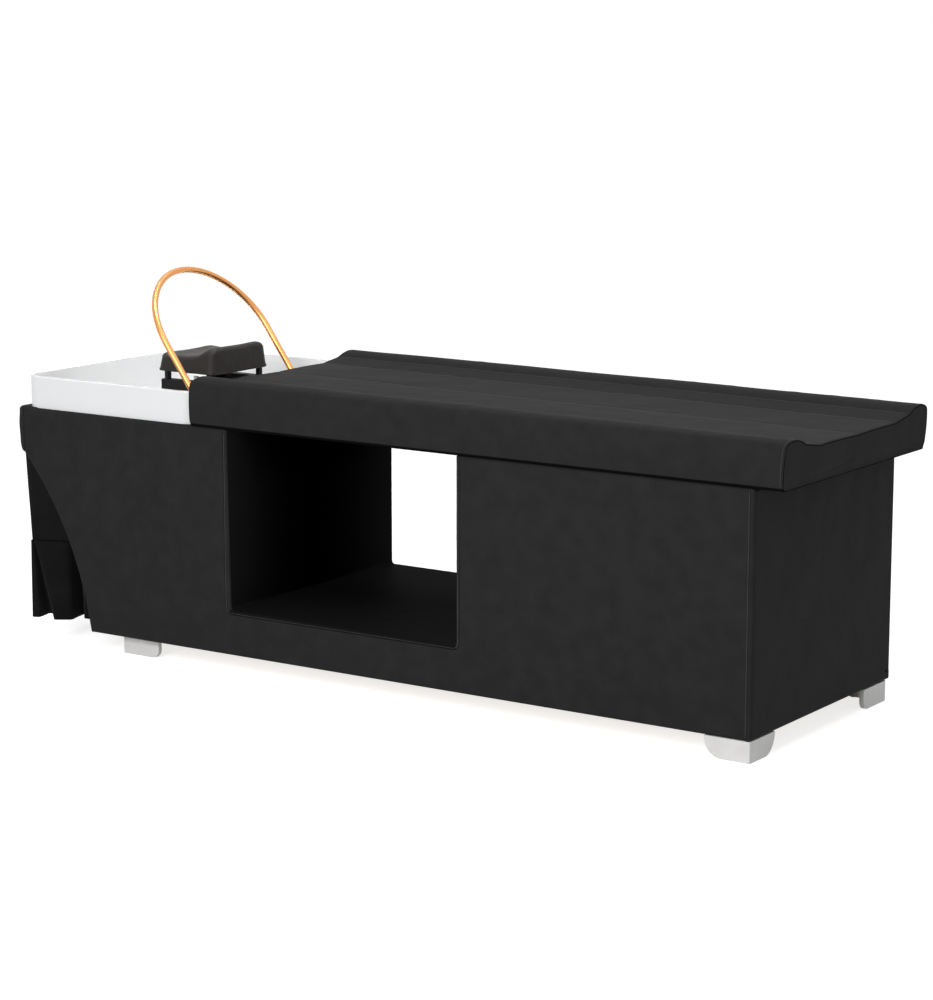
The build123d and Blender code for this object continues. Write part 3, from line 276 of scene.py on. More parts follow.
def plasticFinish(name, color, roughness, texture=0.0008, specular=0.45):
    finish = Finish(name, color, Roughness=roughness, Specular_IOR_Level=specular)
    wear = finish.cloud(0.03, 4.0)
    finish.rough(wear, 0.3, 0.75, 0.12, roughness - 0.06)
    finish.tint(wear, 0.25, 0.8, 0.92, 1.05)
    finish.bump((finish.cloud(texture, 2.0), texture * 0.06))
    return finish.material


def foamFinish(name, color, roughness):
    # Self-skinned moulded foam, satin, with a few handling dents
    finish = Finish(name, color, Roughness=roughness, Specular_IOR_Level=0.22)
    dents = finish.cloud(0.03, 2.0)
    finish.tint(dents, 0.3, 0.7, 0.85, 1.15)
    finish.rough(dents, 0.25, 0.75, 0.14, roughness - 0.07)
    finish.bump((dents, 0.0016), (finish.cells(0.0016, "F1"), 0.00008))
    return finish.material


def boardFinish(name, color, specular=0.5):
    # Plywood face with drawn-out grain
    finish = Finish(name, color, Roughness=0.62, Specular_IOR_Level=specular)
    grain = finish.cloud(0.012, 6.0, finish.stretched(0.12, 1.0, 1.0))
    pores = finish.cloud(0.0015, 2.0, finish.stretched(0.05, 1.0, 1.0))
    finish.tint(grain, 0.3, 0.7, 0.72, 1.1)
    finish.wire("Roughness", grain * 0.2 + 0.5)
    finish.bump((grain, 0.0005), (pores, 0.00025))
    return finish.material


def clearFinish(name):
    finish = Finish(name, (0.93, 0.94, 0.95), Roughness=0.2, Transmission_Weight=0.45, IOR=1.45)
    finish.rough(finish.cloud(0.01, 3.0), 0.3, 0.8, 0.1, 0.15)
    return finish.material


darkLeather = leatherFinish("darkLeather", (0.0230, 0.0230, 0.0232), roughness=0.62, specular=0.028)
# Near-black leather: painted shade for the dark gap, seam line and slot hollows where it is used
paintedShadeLeather = leatherFinish("paintedShadeLeather", (0.0030, 0.0030, 0.0031), roughness=0.70, specular=0.02)
# The tunnel's wall and floor: darker copies of the leather, with painted shade that deepens inside the tunnel
liningWallShade = liningShadeFinish("liningWallShade", (0.0165, 0.0165, 0.0167), reach=0.17, specular=0.0)
liningFloorShade = liningShadeFinish("liningFloorShade", (0.0100, 0.0100, 0.0101), reach=0.38, specular=0.004)
threadFinish = plasticFinish("sewingThread", (0.11, 0.11, 0.113), 0.55, texture=0.0004)
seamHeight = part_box("curtain_yoke")[0].z - 0.004
looks = {
    "dark_leather": darkLeather,
    "foam": boardFinish("rawFoam", (0.70, 0.64, 0.48)),
    "moulded_foam": foamFinish("mouldedFoam", (0.0185, 0.0155, 0.0142), 0.52),
    "plywood": boardFinish("plywood", (0.50, 0.34, 0.19)),
    "basin_white": gelcoatFinish("whiteGelcoat", (0.84, 0.85, 0.86)),
    "rose_metal": copperFinish("copperTube", (0.74, 0.33, 0.11), 0.30),
    "zinc_steel": metalFinish("zincSteel", (0.60, 0.61, 0.63), 0.38, (1.0, 1.0, 0.1)),
    "chrome": metalFinish("chromePlate", (0.80, 0.81, 0.82), 0.12, (0.1, 1.0, 1.0)),
    "clear_plastic": clearFinish("clearPlastic"),
    "dark_plastic": plasticFinish("darkPlastic", (0.012, 0.0112, 0.0108), 0.55, specular=0.15),
    "pipe_plastic": plasticFinish("pipePlastic", (0.72, 0.72, 0.71), 0.42),
    "seal_rubber": plasticFinish("sealRubber", (0.018, 0.018, 0.018), 0.7),
    "foot_silver": plasticFinish("satinSilver", (0.78, 0.775, 0.765), 0.34),
    "glide_brown": plasticFinish("brownGlide", (0.09, 0.05, 0.03), 0.5),
    "curtain_cloth": clothFinish("curtainCloth", (0.0082, 0.0081, 0.0083), seamHeight),
}
stainedBoard = boardFinish("stainedBoard", (0.003, 0.0028, 0.0027), specular=0.05)
for part in frame["record"]["subparts"]:
    mesh = nodes[part["node"]].data
    mesh.materials.clear()
    mesh.materials.append(looks[part["material_slot"]])
for name in ("bed_deck", "deck_battens", "tunnel_head_wall", "tunnel_foot_wall", "front_side_board",
             "rear_side_board", "foot_end_board", "head_band_board", "mattress_base"):
    nodes[name].data.materials[0] = stainedBoard
print("finishes made:", len(looks))


# Shared mesh helpers
def makePiece(name, points, faces, look=darkLeather, body="bed", sharpAngle=40):
    mesh = bpy.data.meshes.new(name)
    mesh.from_pydata([tuple(point) for point in points], [], faces)
    mesh.validate()
    builder = bmesh.new()
    builder.from_mesh(mesh)
    bmesh.ops.remove_doubles(builder, verts=builder.verts, dist=1e-6)
    bmesh.ops.recalc_face_normals(builder, faces=builder.faces)
    builder.to_mesh(mesh)
    builder.free()
    mesh.polygons.foreach_set("use_smooth", [True] * len(mesh.polygons))
    mesh.set_sharp_from_angle(angle=radians(sharpAngle))
    mesh.materials.append(look)
    piece = bpy.data.objects.new(name, mesh)
    bpy.context.scene.collection.objects.link(piece)
    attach(piece, body)
    return piece


def paint(piece, extraLooks, choose):
    # Gives each polygon one of the piece's looks, by its centre
    for look in extraLooks:
        piece.data.materials.append(look)
    for polygon in piece.data.polygons:
        polygon.material_index = int(choose(polygon.center))


def gridFaces(rows, columns, closed=False):
    # Faces of a grid of points stored row by row; closed joins the last column to the first
    faces = []
    for row in range(rows - 1):
        for column in range(columns if closed else columns - 1):
            after = (column + 1) % columns
            faces.append((row * columns + column, row * columns + after,
                          (row + 1) * columns + after, (row + 1) * columns + column))
    return faces


def tubeFaces(rows, columns):
    # Faces of a closed grid, with one more over each of its ends
    ends = [tuple(range(columns)), tuple(range((rows - 1) * columns, rows * columns))]
    return gridFaces(rows, columns, True) + ends


def walked(places):
    # The length of the way from the first place to each
    return [0.0, *accumulate(dist(start, end) for start, end in zip(places, places[1:]))]


def ripple(size, *place):
    # Smooth noise from -1 to 1 whose swells are about size metres across
    return noise.noise(Vector([value / size for value in place]))


def steps(low, high, step):
    count = max(1, ceil(abs(high - low) / step - 1e-6))
    return [low + (high - low) * i / count for i in range(count + 1)]


def divided(start, end, step=None, count=None):
    # Even points from start up to end, without end itself
    count = count or max(1, ceil(dist(start, end) / step - 1e-6))
    return [(start[0] + (end[0] - start[0]) * i / count, start[1] + (end[1] - start[1]) * i / count)
            for i in range(count)]


def turnCorner(centre, radius, first, last, count):
    # Points of an arc about centre, with its angles in degrees
    turns = [radians(first + (last - first) * i / count) for i in range(count + 1)]
    return [(centre[0] + radius * cos(turn), centre[1] + radius * sin(turn)) for turn in turns]


def turnPath(centre, radius, *turn):
    # The points of such an arc, each with its outward direction
    return list(zip(turnCorner(centre, radius, *turn), turnCorner((0, 0), 1, *turn)))


def spread(points, step):
    # The closed outline with points no further apart than step
    edges = zip(points, points[1:] + points[:1])
    return [point for start, end in edges for point in divided(start, end, step)]


def insetOutline(points, depths):
    # Moves each corner in by the depths of its two edges; the outline runs anticlockwise
    normals, moved = [], []
    for start, end in zip(points, points[1:] + points[:1]):
        run = dist(start, end)
        normals.append(((start[1] - end[1]) / run, (end[0] - start[0]) / run))
    for i, (x, y) in enumerate(points):
        (ax, ay), (bx, by) = normals[i - 1], normals[i]
        first, second = depths[i - 1], depths[i]
        cross = ax * by - ay * bx
        if abs(cross) < 0.08:
            # Nearly straight on, so it moves midway between the two directions
            middle, long = (first + second) / 2, hypot(ax + bx, ay + by)
            moved.append((x + middle * (ax + bx) / long, y + middle * (ay + by) / long))
        else:
            moved.append((x + (first * by - second * ay) / cross, y + (second * ax - first * bx) / cross))
    return moved


def paddedPanel(name, outline, radii, rise, place, swell, look=darkLeather, body="bed",
                grid=0.02, flare=0.0, wall=0.0, rings=(0.004, 0.010, 0.018), holes=()):
    # A pad over an outline: rounded by each edge's radius, rise(u, v) high inside, and flat below.
    # place(u, v, height) gives the point in the frame, and swell(u, v, distance) adds the leather's waves.
    count = len(outline)
    cornerRadii = [(radii[i - 1] + radii[i]) / 2 for i in range(count)]
    turns = [radians(angle) for angle in (0, 18, 36, 54, 72, 90)]
    points, loops = [], []

    def addLoop(flat, heights):
        loops.append(list(range(len(points), len(points) + len(flat))))
        points.extend((u, v, height) for (u, v), height in zip(flat, heights))

    addLoop(insetOutline(outline, [-flare] * count), [0.0] * count)
    if wall:
        addLoop(insetOutline(outline, [-flare * 0.6] * count), [wall * 0.5] * count)
    for turn in turns:
        flat = insetOutline(outline, [radius * (1 - cos(turn)) for radius in radii])
        addLoop(flat, [rise(u, v) - radius * (1 - sin(turn)) for (u, v), radius in zip(flat, cornerRadii)])
    for ring in rings:
        flat = insetOutline(outline, [radius + ring for radius in radii])
        addLoop(flat, [rise(u, v) + swell(u, v, ring) for u, v in flat])
    faces = []
    for lower, upper in zip(loops, loops[1:]):
        faces += [(lower[i - 1], lower[i], upper[i], upper[i - 1]) for i in range(count)]
    faces.append(tuple(reversed(loops[0])))

    # The middle is a grid of points tied to the last ring
    edge = np.array([points[i][:2] for i in loops[-1]])
    holeLoops = []
    for flat, depth in holes:
        ids = []
        for drop, grow in ((0.0, 0.0015), (0.0006, 0.0004), (0.0018, 0.0), (depth, 0.0)):
            wider = insetOutline(flat, [-grow] * len(flat))
            addLoop(wider, [rise(u, v) - drop for u, v in wider])
            ids.append(loops.pop())
        for upper, lower in zip(ids, ids[1:]):
            faces += [(upper[i - 1], upper[i], lower[i], lower[i - 1]) for i in range(len(flat))]
        faces.append(tuple(ids[-1]))
        holeLoops.append(ids[0])
    rows, columns = (steps(low, high, grid)[1:-1] for low, high in zip(edge.min(0), edge.max(0)))
    inner = np.array([(u, v) for u in rows for v in columns]).reshape(-1, 2)
    inner = inner[insideOf(inner, edge) & (away(inner, edge) > grid * 0.5)]
    holeRings = [np.array([points[i][:2] for i in loop]) for loop in holeLoops]
    for ring in holeRings:
        inner = inner[~insideOf(inner, ring) & (away(inner, ring) > grid * 0.35)]
    ties, known = [], []
    for loop in [loops[-1]] + holeLoops:
        start = len(known)
        known += loop
        ties += [(start + i, start + (i + 1) % len(loop)) for i in range(len(loop))]
    flat = [Vector(points[i][:2]) for i in known] + [Vector(point) for point in inner]
    made, _, triangles, origins, _, _ = delaunay_2d_cdt(flat, ties, [], 1, 1e-7)
    index = {}
    for i, (point, sources) in enumerate(zip(made, origins)):
        if sources and sources[0] < len(known):
            index[i] = known[sources[0]]
        else:
            u, v = point
            distance = away([point], edge)[0] + rings[-1]
            index[i] = len(points)
            points.append((u, v, rise(u, v) + swell(u, v, distance)))
    for triangle in triangles:
        middle = np.mean([made[i] for i in triangle], axis=0, keepdims=True)
        if not any(insideOf(middle, ring)[0] for ring in holeRings):
            faces.append(tuple(index[i] for i in triangle))
    return makePiece(name, [place(*point) for point in points], faces, look, body)


def away(points, outline):
    # Each point's distance from the nearest point of the outline
    return np.array([np.hypot(*(outline - np.array(point)).T).min() for point in points])


def insideOf(points, outline):
    # True for each point that lies inside the closed outline
    inside = np.zeros(len(points), bool)
    for (x0, y0), (x1, y1) in zip(outline, np.roll(outline, -1, axis=0)):
        crosses = (points[:, 1] < y0) != (points[:, 1] < y1)
        if crosses.any():
            inside ^= crosses & (points[:, 0] < (x1 - x0) * (points[:, 1] - y0) / (y1 - y0 + 1e-12) + x0)
    return inside


stitch = {"pitch": 0.0052, "length": 0.0038, "radius": 0.00042, "lift": 0.0002, "sides": 5}


def stitches(name, lines):
    # Threads along lines of (point, outward normal), one short spindle for each stitch
    points, faces = [], []
    pitch, length, radius, sides = (stitch[key] for key in ("pitch", "length", "radius", "sides"))
    turns = [2 * pi * n / sides for n in range(sides)]
    for line in lines:
        places = [Vector(point) for point, _ in line]
        lengths = walked(places)
        for k in range(int(lengths[-1] / pitch)):
            middle = (k + 0.5) * pitch
            i = min(int(np.searchsorted(lengths, middle)) - 1, len(places) - 2)
            share = (middle - lengths[i]) / (lengths[i + 1] - lengths[i])
            along = (places[i + 1] - places[i]).normalized()
            out = Vector(line[i][1]).lerp(Vector(line[i + 1][1]), share).normalized()
            side = along.cross(out)
            centre = places[i].lerp(places[i + 1], share) + out * stitch["lift"]
            first = len(points)
            last = first + 1 + 2 * sides
            points.append(centre - along * length / 2 - out * radius)
            points += [centre + along * length * reach + (out * cos(turn) + side * sin(turn)) * radius
                       for reach in (-0.3, 0.3) for turn in turns]
            points.append(centre + along * length / 2 - out * radius)
            for n in range(sides):
                near, after = first + 1 + n, first + 1 + (n + 1) % sides
                far, farAfter = near + sides, after + sides
                faces += [(first, after, near), (near, after, farAfter, far), (far, farAfter, last)]
    return makePiece(name, points, faces, threadFinish)


def cord(name, line, radius, look, sides=8):
    # A round cord along a line of (point, outward normal)
    points = []
    turns = [2 * pi * n / sides for n in range(sides)]
    for i, (place, normal) in enumerate(line):
        before, after = Vector(line[max(i - 1, 0)][0]), Vector(line[min(i + 1, len(line) - 1)][0])
        out = Vector(normal).normalized()
        side = (after - before).normalized().cross(out)
        points += [Vector(place) + (out * cos(turn) + side * sin(turn)) * radius for turn in turns]
    return makePiece(name, points, tubeFaces(len(line), sides), look)


# Padded covers of the box
lining = {
    "thick": 0.010, "cornerRadius": 0.009, "lip": 0.005, "lean": 0.008, "slack": 0.0012, "pucker": 0.0006,
    "step": 0.012,
}
mouthLow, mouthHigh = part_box("tunnel_lining")
coverLow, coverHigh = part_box("front_side_cover")
endLow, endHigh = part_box("foot_end_cover")
bandLow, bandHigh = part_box("head_band_cover")
side = {
    "seamRadius": 0.0022, "edgeRadius": 0.008, "scoopRadius": 0.0035, "step": 0.006,
    "scoopTop": (coverLow.x, bandLow.z), "scoopFoot": (bandHigh.x + 0.213, coverLow.z), "scoopSag": 0.037,
    "waveHeight": 0.0010, "pucker": 0.0005,
}


def bodyWave(u, v, distance):
    # Slack in the leather: broad swells inside the panel, and small puckers beside its seams
    broad = side["waveHeight"] * ripple(0.22, u, v, 3.1) * min(1.0, distance / 0.06)
    return broad + side["pucker"] * ripple(0.014, u, v, 7.7) * exp(-distance / 0.012)


def scoopArc():
    # The arc from the scoop's top to its foot that bows by its sag
    (ax, az), (bx, bz) = side["scoopTop"], side["scoopFoot"]
    chord, sag = dist((ax, az), (bx, bz)), side["scoopSag"]
    radius = (chord * chord / 4 + sag * sag) / (2 * sag)
    reach = (radius - sag) / chord
    centre = ((ax + bx) / 2 + (bz - az) * reach, (az + bz) / 2 - (bx - ax) * reach)
    aim, half = degrees(atan2(bx - ax, az - bz)), degrees(asin(chord / 2 / radius))
    return turnCorner(centre, radius, aim + half, aim - half, 80)


def blended(radii, rounds=4):
    # Each edge's radius passes into its neighbours' without a step
    for _ in range(rounds):
        radii = [(radii[i - 1] + 2 * radii[i] + radii[(i + 1) % len(radii)]) / 4 for i in range(len(radii))]
    return radii


def edged(runs):
    # An outline from runs of (edge radius, points, step), with the radius of each of its edges
    outline, radii = [], []
    for radius, points, step in runs:
        for start, end in zip(points, points[1:]):
            part = divided(start, end, step)
            outline += part
            radii += [radius] * len(part)
    return outline, radii


def sideOutline():
    # Anticlockwise seen from the near side, with free edges and sewn ones
    free, seamShade, step = side["edgeRadius"], side["seamRadius"], side["step"]
    left, right, low, high = coverLow.x, coverHigh.x, coverLow.z, coverHigh.z
    corner = lining["cornerRadius"] + lining["thick"]
    mouth = turnCorner((mouthHigh.x - corner, mouthLow.z + corner), corner, 0, -90, 10)
    mouth += turnCorner((mouthLow.x + corner, mouthLow.z + corner), corner, -90, -180, 10)
    arc = scoopArc()
    outline, radii = edged((
        (free, [arc[-1], (right, low)], step),
        (seamShade, [(right, low), (right, high)], step),
        (free, [(right, high), (mouthHigh.x, high)], step),
        (seamShade, [(mouthHigh.x, high), *mouth, (mouthLow.x, high)], step),
        (free, [(mouthLow.x, high), (left, high)], step),
        (seamShade, [(left, high), arc[0]], step),
        (side["scoopRadius"], arc, 1),
    ))
    return outline, blended(radii)


outline, radii = sideOutline()
for name, node, sign in (("frontSideCover", "front_side_cover", -1), ("rearSideCover", "rear_side_cover", 1)):
    low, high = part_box(node)
    inner, thick = high.y if sign < 0 else low.y, high.y - low.y
    piece = paddedPanel(name, outline, radii, lambda u, v: thick,
                        lambda u, v, height: (u, inner + sign * height, v),
                        lambda u, v, distance: bodyWave(u, v + 5 * sign, distance))
    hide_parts(node)
print("side covers made")

endPad = {"sideRadius": 0.0092, "edgeRadius": 0.008, "stitchInset": 0.0034, "stitchMargin": 0.008}
corners = [(endLow.y, endLow.z), (endHigh.y, endLow.z), (endHigh.y, endHigh.z), (endLow.y, endHigh.z)]
kinds = ("edgeRadius", "sideRadius") * 2
outline, radii = edged((endPad[kind], edge, side["step"])
                       for kind, edge in zip(kinds, zip(corners, corners[1:] + corners[:1])))
piece = paddedPanel("footEndCover", outline, radii, lambda u, v: endHigh.x - endLow.x,
                    lambda u, v, height: (endLow.x + height, u, v), bodyWave)
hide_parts("foot_end_cover")
print("foot end cover made")


def bandPath():
    # Points round the head end in plan, each with its outward direction, on the band's outer face
    radius = bandHigh.x - bandLow.x
    x, near, far = bandLow.x + radius, bandLow.y + radius, bandHigh.y - radius
    path = [((bandHigh.x, bandLow.y), (0, -1))] + turnPath((x, near), radius, 270, 180, 12)
    path += [((bandLow.x, y), (-1, 0)) for y in steps(near, far, 0.008)[1:-1]]
    return path + turnPath((x, far), radius, 180, 90, 12)


band = {
    "edgeHeight": 0.046, "edgeDepth": 0.0098, "bulge": 0.0025, "blendLength": 0.035, "rows": 12,
    "pinch": 0.0016, "boardRadius": 0.012, "basinRadius": 0.045,
    "wrap": ((0, 0.0), (0, 0.0010), (0.5, 0.0018), (1, 0.0012), (1, 0.0)),
}


def makeBand():
    # A strip of padded leather round the head end, drawn far under at its lower edge
    thick, radius, rows = lining["thick"], side["edgeRadius"], band["rows"]
    low, high = bandLow.z, bandHigh.z
    turns = [radians(angle) for angle in range(0, 91, 15)]
    path = bandPath()
    lengths = walked([place for place, _ in path])
    points = []
    for i, ((x, y), (outX, outY)) in enumerate(path):
        share = min(1.0, min(lengths[i], lengths[-1] - lengths[i]) / band["blendLength"])
        height = radius + (band["edgeHeight"] - radius) * share
        depth = radius + (band["edgeDepth"] - radius) * share
        rise = high - radius - low - height
        section = [(-thick, low)] + [(depth * (sin(t) - 1), low + height * (1 - cos(t))) for t in turns]
        section += [(band["bulge"] * share * sin(pi * row / rows) ** 2, low + height + rise * row / rows)
                    for row in range(1, rows)]
        section += [(radius * (cos(t) - 1), high - radius * (1 - sin(t))) for t in turns] + [(-thick, high)]
        pinch = band["pinch"] if i in (0, len(path) - 1) else 0.0
        for out, z in section:
            wave = 0.8 * bodyWave(y, z, min(z - low, high - z)) if out > -0.001 else 0.0
            reach = out + wave - (pinch if out > -thick else 0)
            points.append((x + outX * reach, y + outY * reach, z))
    faces = tubeFaces(len(path), len(section))

    # The leather goes on over the boards' tops, as far as the basin
    first = len(points)
    inner = wrapLine(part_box("basin")[0], band["basinRadius"])
    outer = wrapLine(Vector((bandLow.x + thick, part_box("basin")[0].y, 0)), band["boardRadius"])
    for (ax, ay), (bx, by) in zip(outer, inner):
        points += [(ax + (bx - ax) * share, ay + (by - ay) * share, high + rise)
                   for share, rise in band["wrap"]]
    faces += [tuple(first + i for i in face) for face in gridFaces(len(outer), len(band["wrap"]), True)]
    piece = makePiece("headBandCover", points, faces)
    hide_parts("head_band_cover")


def wrapLine(corner, radius):
    # Half round the head end in plan: along the side, round the corner, across, and the same mirrored
    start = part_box("basin")[0].x + band["basinRadius"]
    line = divided((start, corner.y), (corner.x + radius, corner.y), count=6)
    line += turnCorner((corner.x + radius, corner.y + radius), radius, 270, 180, 12)
    line += [(corner.x, (corner.y + radius) * (1 - i / 20)) for i in range(1, 21)]
    return line + [(x, -y) for x, y in reversed(line[:-1])]


makeBand()


def makeLining():
    # A U of padded leather through the tunnel, rolled over both its mouths to a seam
    thick, corner, lip = lining["thick"], lining["cornerRadius"], lining["lip"]
    leftX, rightX, floorZ = mouthLow.x + thick, mouthHigh.x - thick, mouthLow.z + thick
    low, top, step = floorZ + corner, mouthHigh.z - 0.001, lining["step"]
    path = [((leftX, z), (-1, 0)) for z in steps(top, low, step)[:-1]]
    path += turnPath((leftX + corner, low), corner, 180, 270, 8)
    path += [((x, floorZ), (0, -1)) for x in steps(leftX + corner, rightX - corner, step)[1:-1]]
    path += turnPath((rightX - corner, low), corner, 270, 360, 8)
    path += [((rightX, z), (1, 0)) for z in steps(low, top, step)[1:]]
    faceY = -coverLow.y
    across = [(thick, -coverHigh.y), (thick, faceY - 0.0022), (thick - 0.0006, faceY - 0.0007),
              (thick * 0.85, faceY), (thick * 0.68, faceY + 0.0003)]
    for turn in (radians(angle) for angle in range(0, 91, 10)):
        across.append((lip * (1 - sin(turn)), faceY - lip * (1 - cos(turn))))
    inner = across[-1][1]
    profile = [(out, -y) for out, y in across]
    profile += [(0.0, y) for y in steps(-inner, inner, 0.018)[1:-1]] + across[::-1]
    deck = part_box("bed_deck")[0].z
    points = []
    for (x, z), (outX, outZ) in path:
        for out, y in profile:
            reach, soft = out, out < thick * 0.9
            if soft:
                depth = faceY - abs(y)
                reach += lining["slack"] * ripple(0.16, x + z, y, 1.3) * min(1.0, depth / 0.05)
                reach += lining["pucker"] * ripple(0.012, x * 2 + z, y, 5.5) * exp(-depth / 0.02)
            point = [x + outX * reach, y, z + outZ * reach]
            if abs(y) < faceY - 0.026:
                point[2] = min(point[2], deck - 0.0005)
            if soft and x < 0:
                # The near mouth's head side was sewn a little out of plumb
                down = (mouthHigh.z - z) / (mouthHigh.z - mouthLow.z)
                point[0] += lining["lean"] * down * exp(-(faceY + y) / 0.07) * min(1.0, (-x - 0.1) / 0.3)
            points.append(point)

    # Picks the lip's own leather, or the painted-shade copies for the tunnel's wall and floor
    def surface(centre):
        if centre.z < floorZ + 0.003 and leftX < centre.x < rightX:
            return 2
        return abs(centre.y) < faceY - 0.0045

    piece = makePiece("tunnelLining", points, gridFaces(len(path), len(profile)))
    paint(piece, (liningWallShade, liningFloorShade), surface)
    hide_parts("tunnel_lining")
    # Stitches on the rolled lips, just inside the seam
    reach = thick * 0.62
    stitches("tunnelStitches", [[((x + outX * reach, sign * (faceY + 0.0002), z + outZ * reach), (0, sign, 0))
                                 for (x, z), (outX, outZ) in path[1:-1]] for sign in (-1, 1)])


makeLining()
margin = endPad["stitchMargin"]
heights = steps(endLow.z + margin, endHigh.z - margin, 0.02)
stitches("cornerStitches", [[((coverHigh.x - endPad["stitchInset"], sign * -coverLow.y, z), (0, sign, 0))
                             for z in heights] for sign in (-1, 1)])
print("tunnel lining and band made")


# Mattress
padLow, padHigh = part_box("mattress_cover")
mattress = {
    "innerSeam": 0.190, "outerSeam": 0.260, "bulgeRise": 0.050, "puff": 0.0012,
    "headRises": (0.096, 0.097, 0.107, 0.117, 0.107), "footRises": (0.083, 0.0845, 0.096, 0.111, 0.104),
    "headReach": (0.332, 0.3565, 0.3595, 0.3575), "footReach": (0.325, 0.3530, 0.3600, 0.3565),
    "footLean": 0.07, "leanLength": 0.06, "pipingRadius": 0.0015, "groove": 0.0010, "grooveWidth": 0.0036,
    "pucker": 0.0009, "slack": 0.0018, "sideSlack": 0.0011, "cornerStitch": 0.0065,
    "endRadius": 0.0045, "bottomRadius": 0.011, "stationStep": 0.0065, "panelDepth": 0.006,
}
seams = [0.0] + [sign * mattress[kind] for kind in ("innerSeam", "outerSeam") for sign in (1, -1)]


def arcThrough(first, middle, last, count):
    # Points of the arc through three points in a plane, from first to last
    a, b, c = (complex(*point) for point in (first, middle, last))
    bend = (c - a) / (b - a)
    centre = a + (b - a) * (bend - abs(bend) ** 2) / (2j * bend.imag)
    whole = phase((b - centre) / (a - centre)) + phase((c - centre) / (b - centre))
    arc = [centre + (a - centre) * rect(1, whole * i / count) for i in range(count + 1)]
    return [(point.real, point.imag) for point in arc]


def mattressHalf(share):
    # Right half of the section at a share of the length from the head end, from the middle seam down
    def between(kind):
        return [a + (b - a) * share for a, b in zip(mattress["head" + kind], mattress["foot" + kind])]

    centre, inner, outer, roll, shoulderRise = between("Rises")
    rollTop, shoulderReach, bulge, foot = between("Reach")
    bottom, puff = mattress["bottomRadius"], mattress["puff"]
    y1, y2, shoulder = mattress["innerSeam"], mattress["outerSeam"], (shoulderReach, shoulderRise)
    line = arcThrough((0, centre), (y1 / 2, (centre + inner) / 2 + puff), (y1, inner), 30)
    line += arcThrough((y1, inner), ((y1 + y2) / 2, (inner + outer) / 2 + puff * 0.35), (y2, outer), 16)[1:]
    line += arcThrough((y2, outer), (rollTop, roll), shoulder, 22)[1:]
    line += arcThrough(shoulder, (bulge, mattress["bulgeRise"]), (foot, bottom), 18)[1:]
    return line + [(foot - bottom * (1 - cos(t)), bottom * (1 - sin(t)))
                   for t in (radians(a) for a in (20, 40, 60, 90))]


def mattressSection(share):
    # The whole section, with the kinks at its shoulders softened
    right = [Vector(point) for point in mattressHalf(share)]
    for _ in range(5):
        right[1:-1] = [(a + 2 * b + c) / 4 for a, b, c in zip(right, right[1:], right[2:])]
    return [(-y, z) for y, z in right[:0:-1]] + [tuple(point) for point in right]


def mattressPoint(share, y, rise, out):
    # out is the outward direction in the section; seams pull the cover in and pucker it
    x = padLow.x + (padHigh.x - padLow.x) * share
    lean = mattress["footLean"] * rise * max(0.0, 1 - (padHigh.x - x) / mattress["leanLength"])
    reach = 0.0
    if out[1] > 0.35:
        for seam in seams:
            apart = abs(y - seam)
            reach -= mattress["groove"] * exp(-((apart / mattress["grooveWidth"]) ** 2))
            reach += mattress["pucker"] * ripple(0.020, x, seam * 9, 2.0) * exp(-((apart / 0.016) ** 2))
    ends = min(1.0, (x - padLow.x) / 0.10, (padHigh.x - x) / 0.10)
    swells = 0.6 * ripple(0.26, x, y, rise) + 0.4 * ripple(0.09, x * 0.6, y, rise + 4)
    reach += mattress["slack"] * swells * (0.35 + 0.65 * ends)
    if abs(y) > 0.33:
        reach += mattress["sideSlack"] * ripple(0.035, x, rise * 0.35, y * 2) * ends
    return Vector((x + lean, y + out[0] * reach, padLow.z + rise + out[1] * reach * min(1.0, rise / 0.02)))


def mattressRing(share):
    # The cover's points round the section: each with its outward direction, and its flat y and rise
    section = mattressSection(share)
    ring = []
    for i, (y, rise) in enumerate(section):
        run = Vector(section[min(i + 1, len(section) - 1)]) - Vector(section[max(i - 1, 0)])
        run.normalize()
        ring.append((mattressPoint(share, y, rise, (-run.y, run.x)), Vector((0, -run.y, run.x)), y, rise))
    return ring


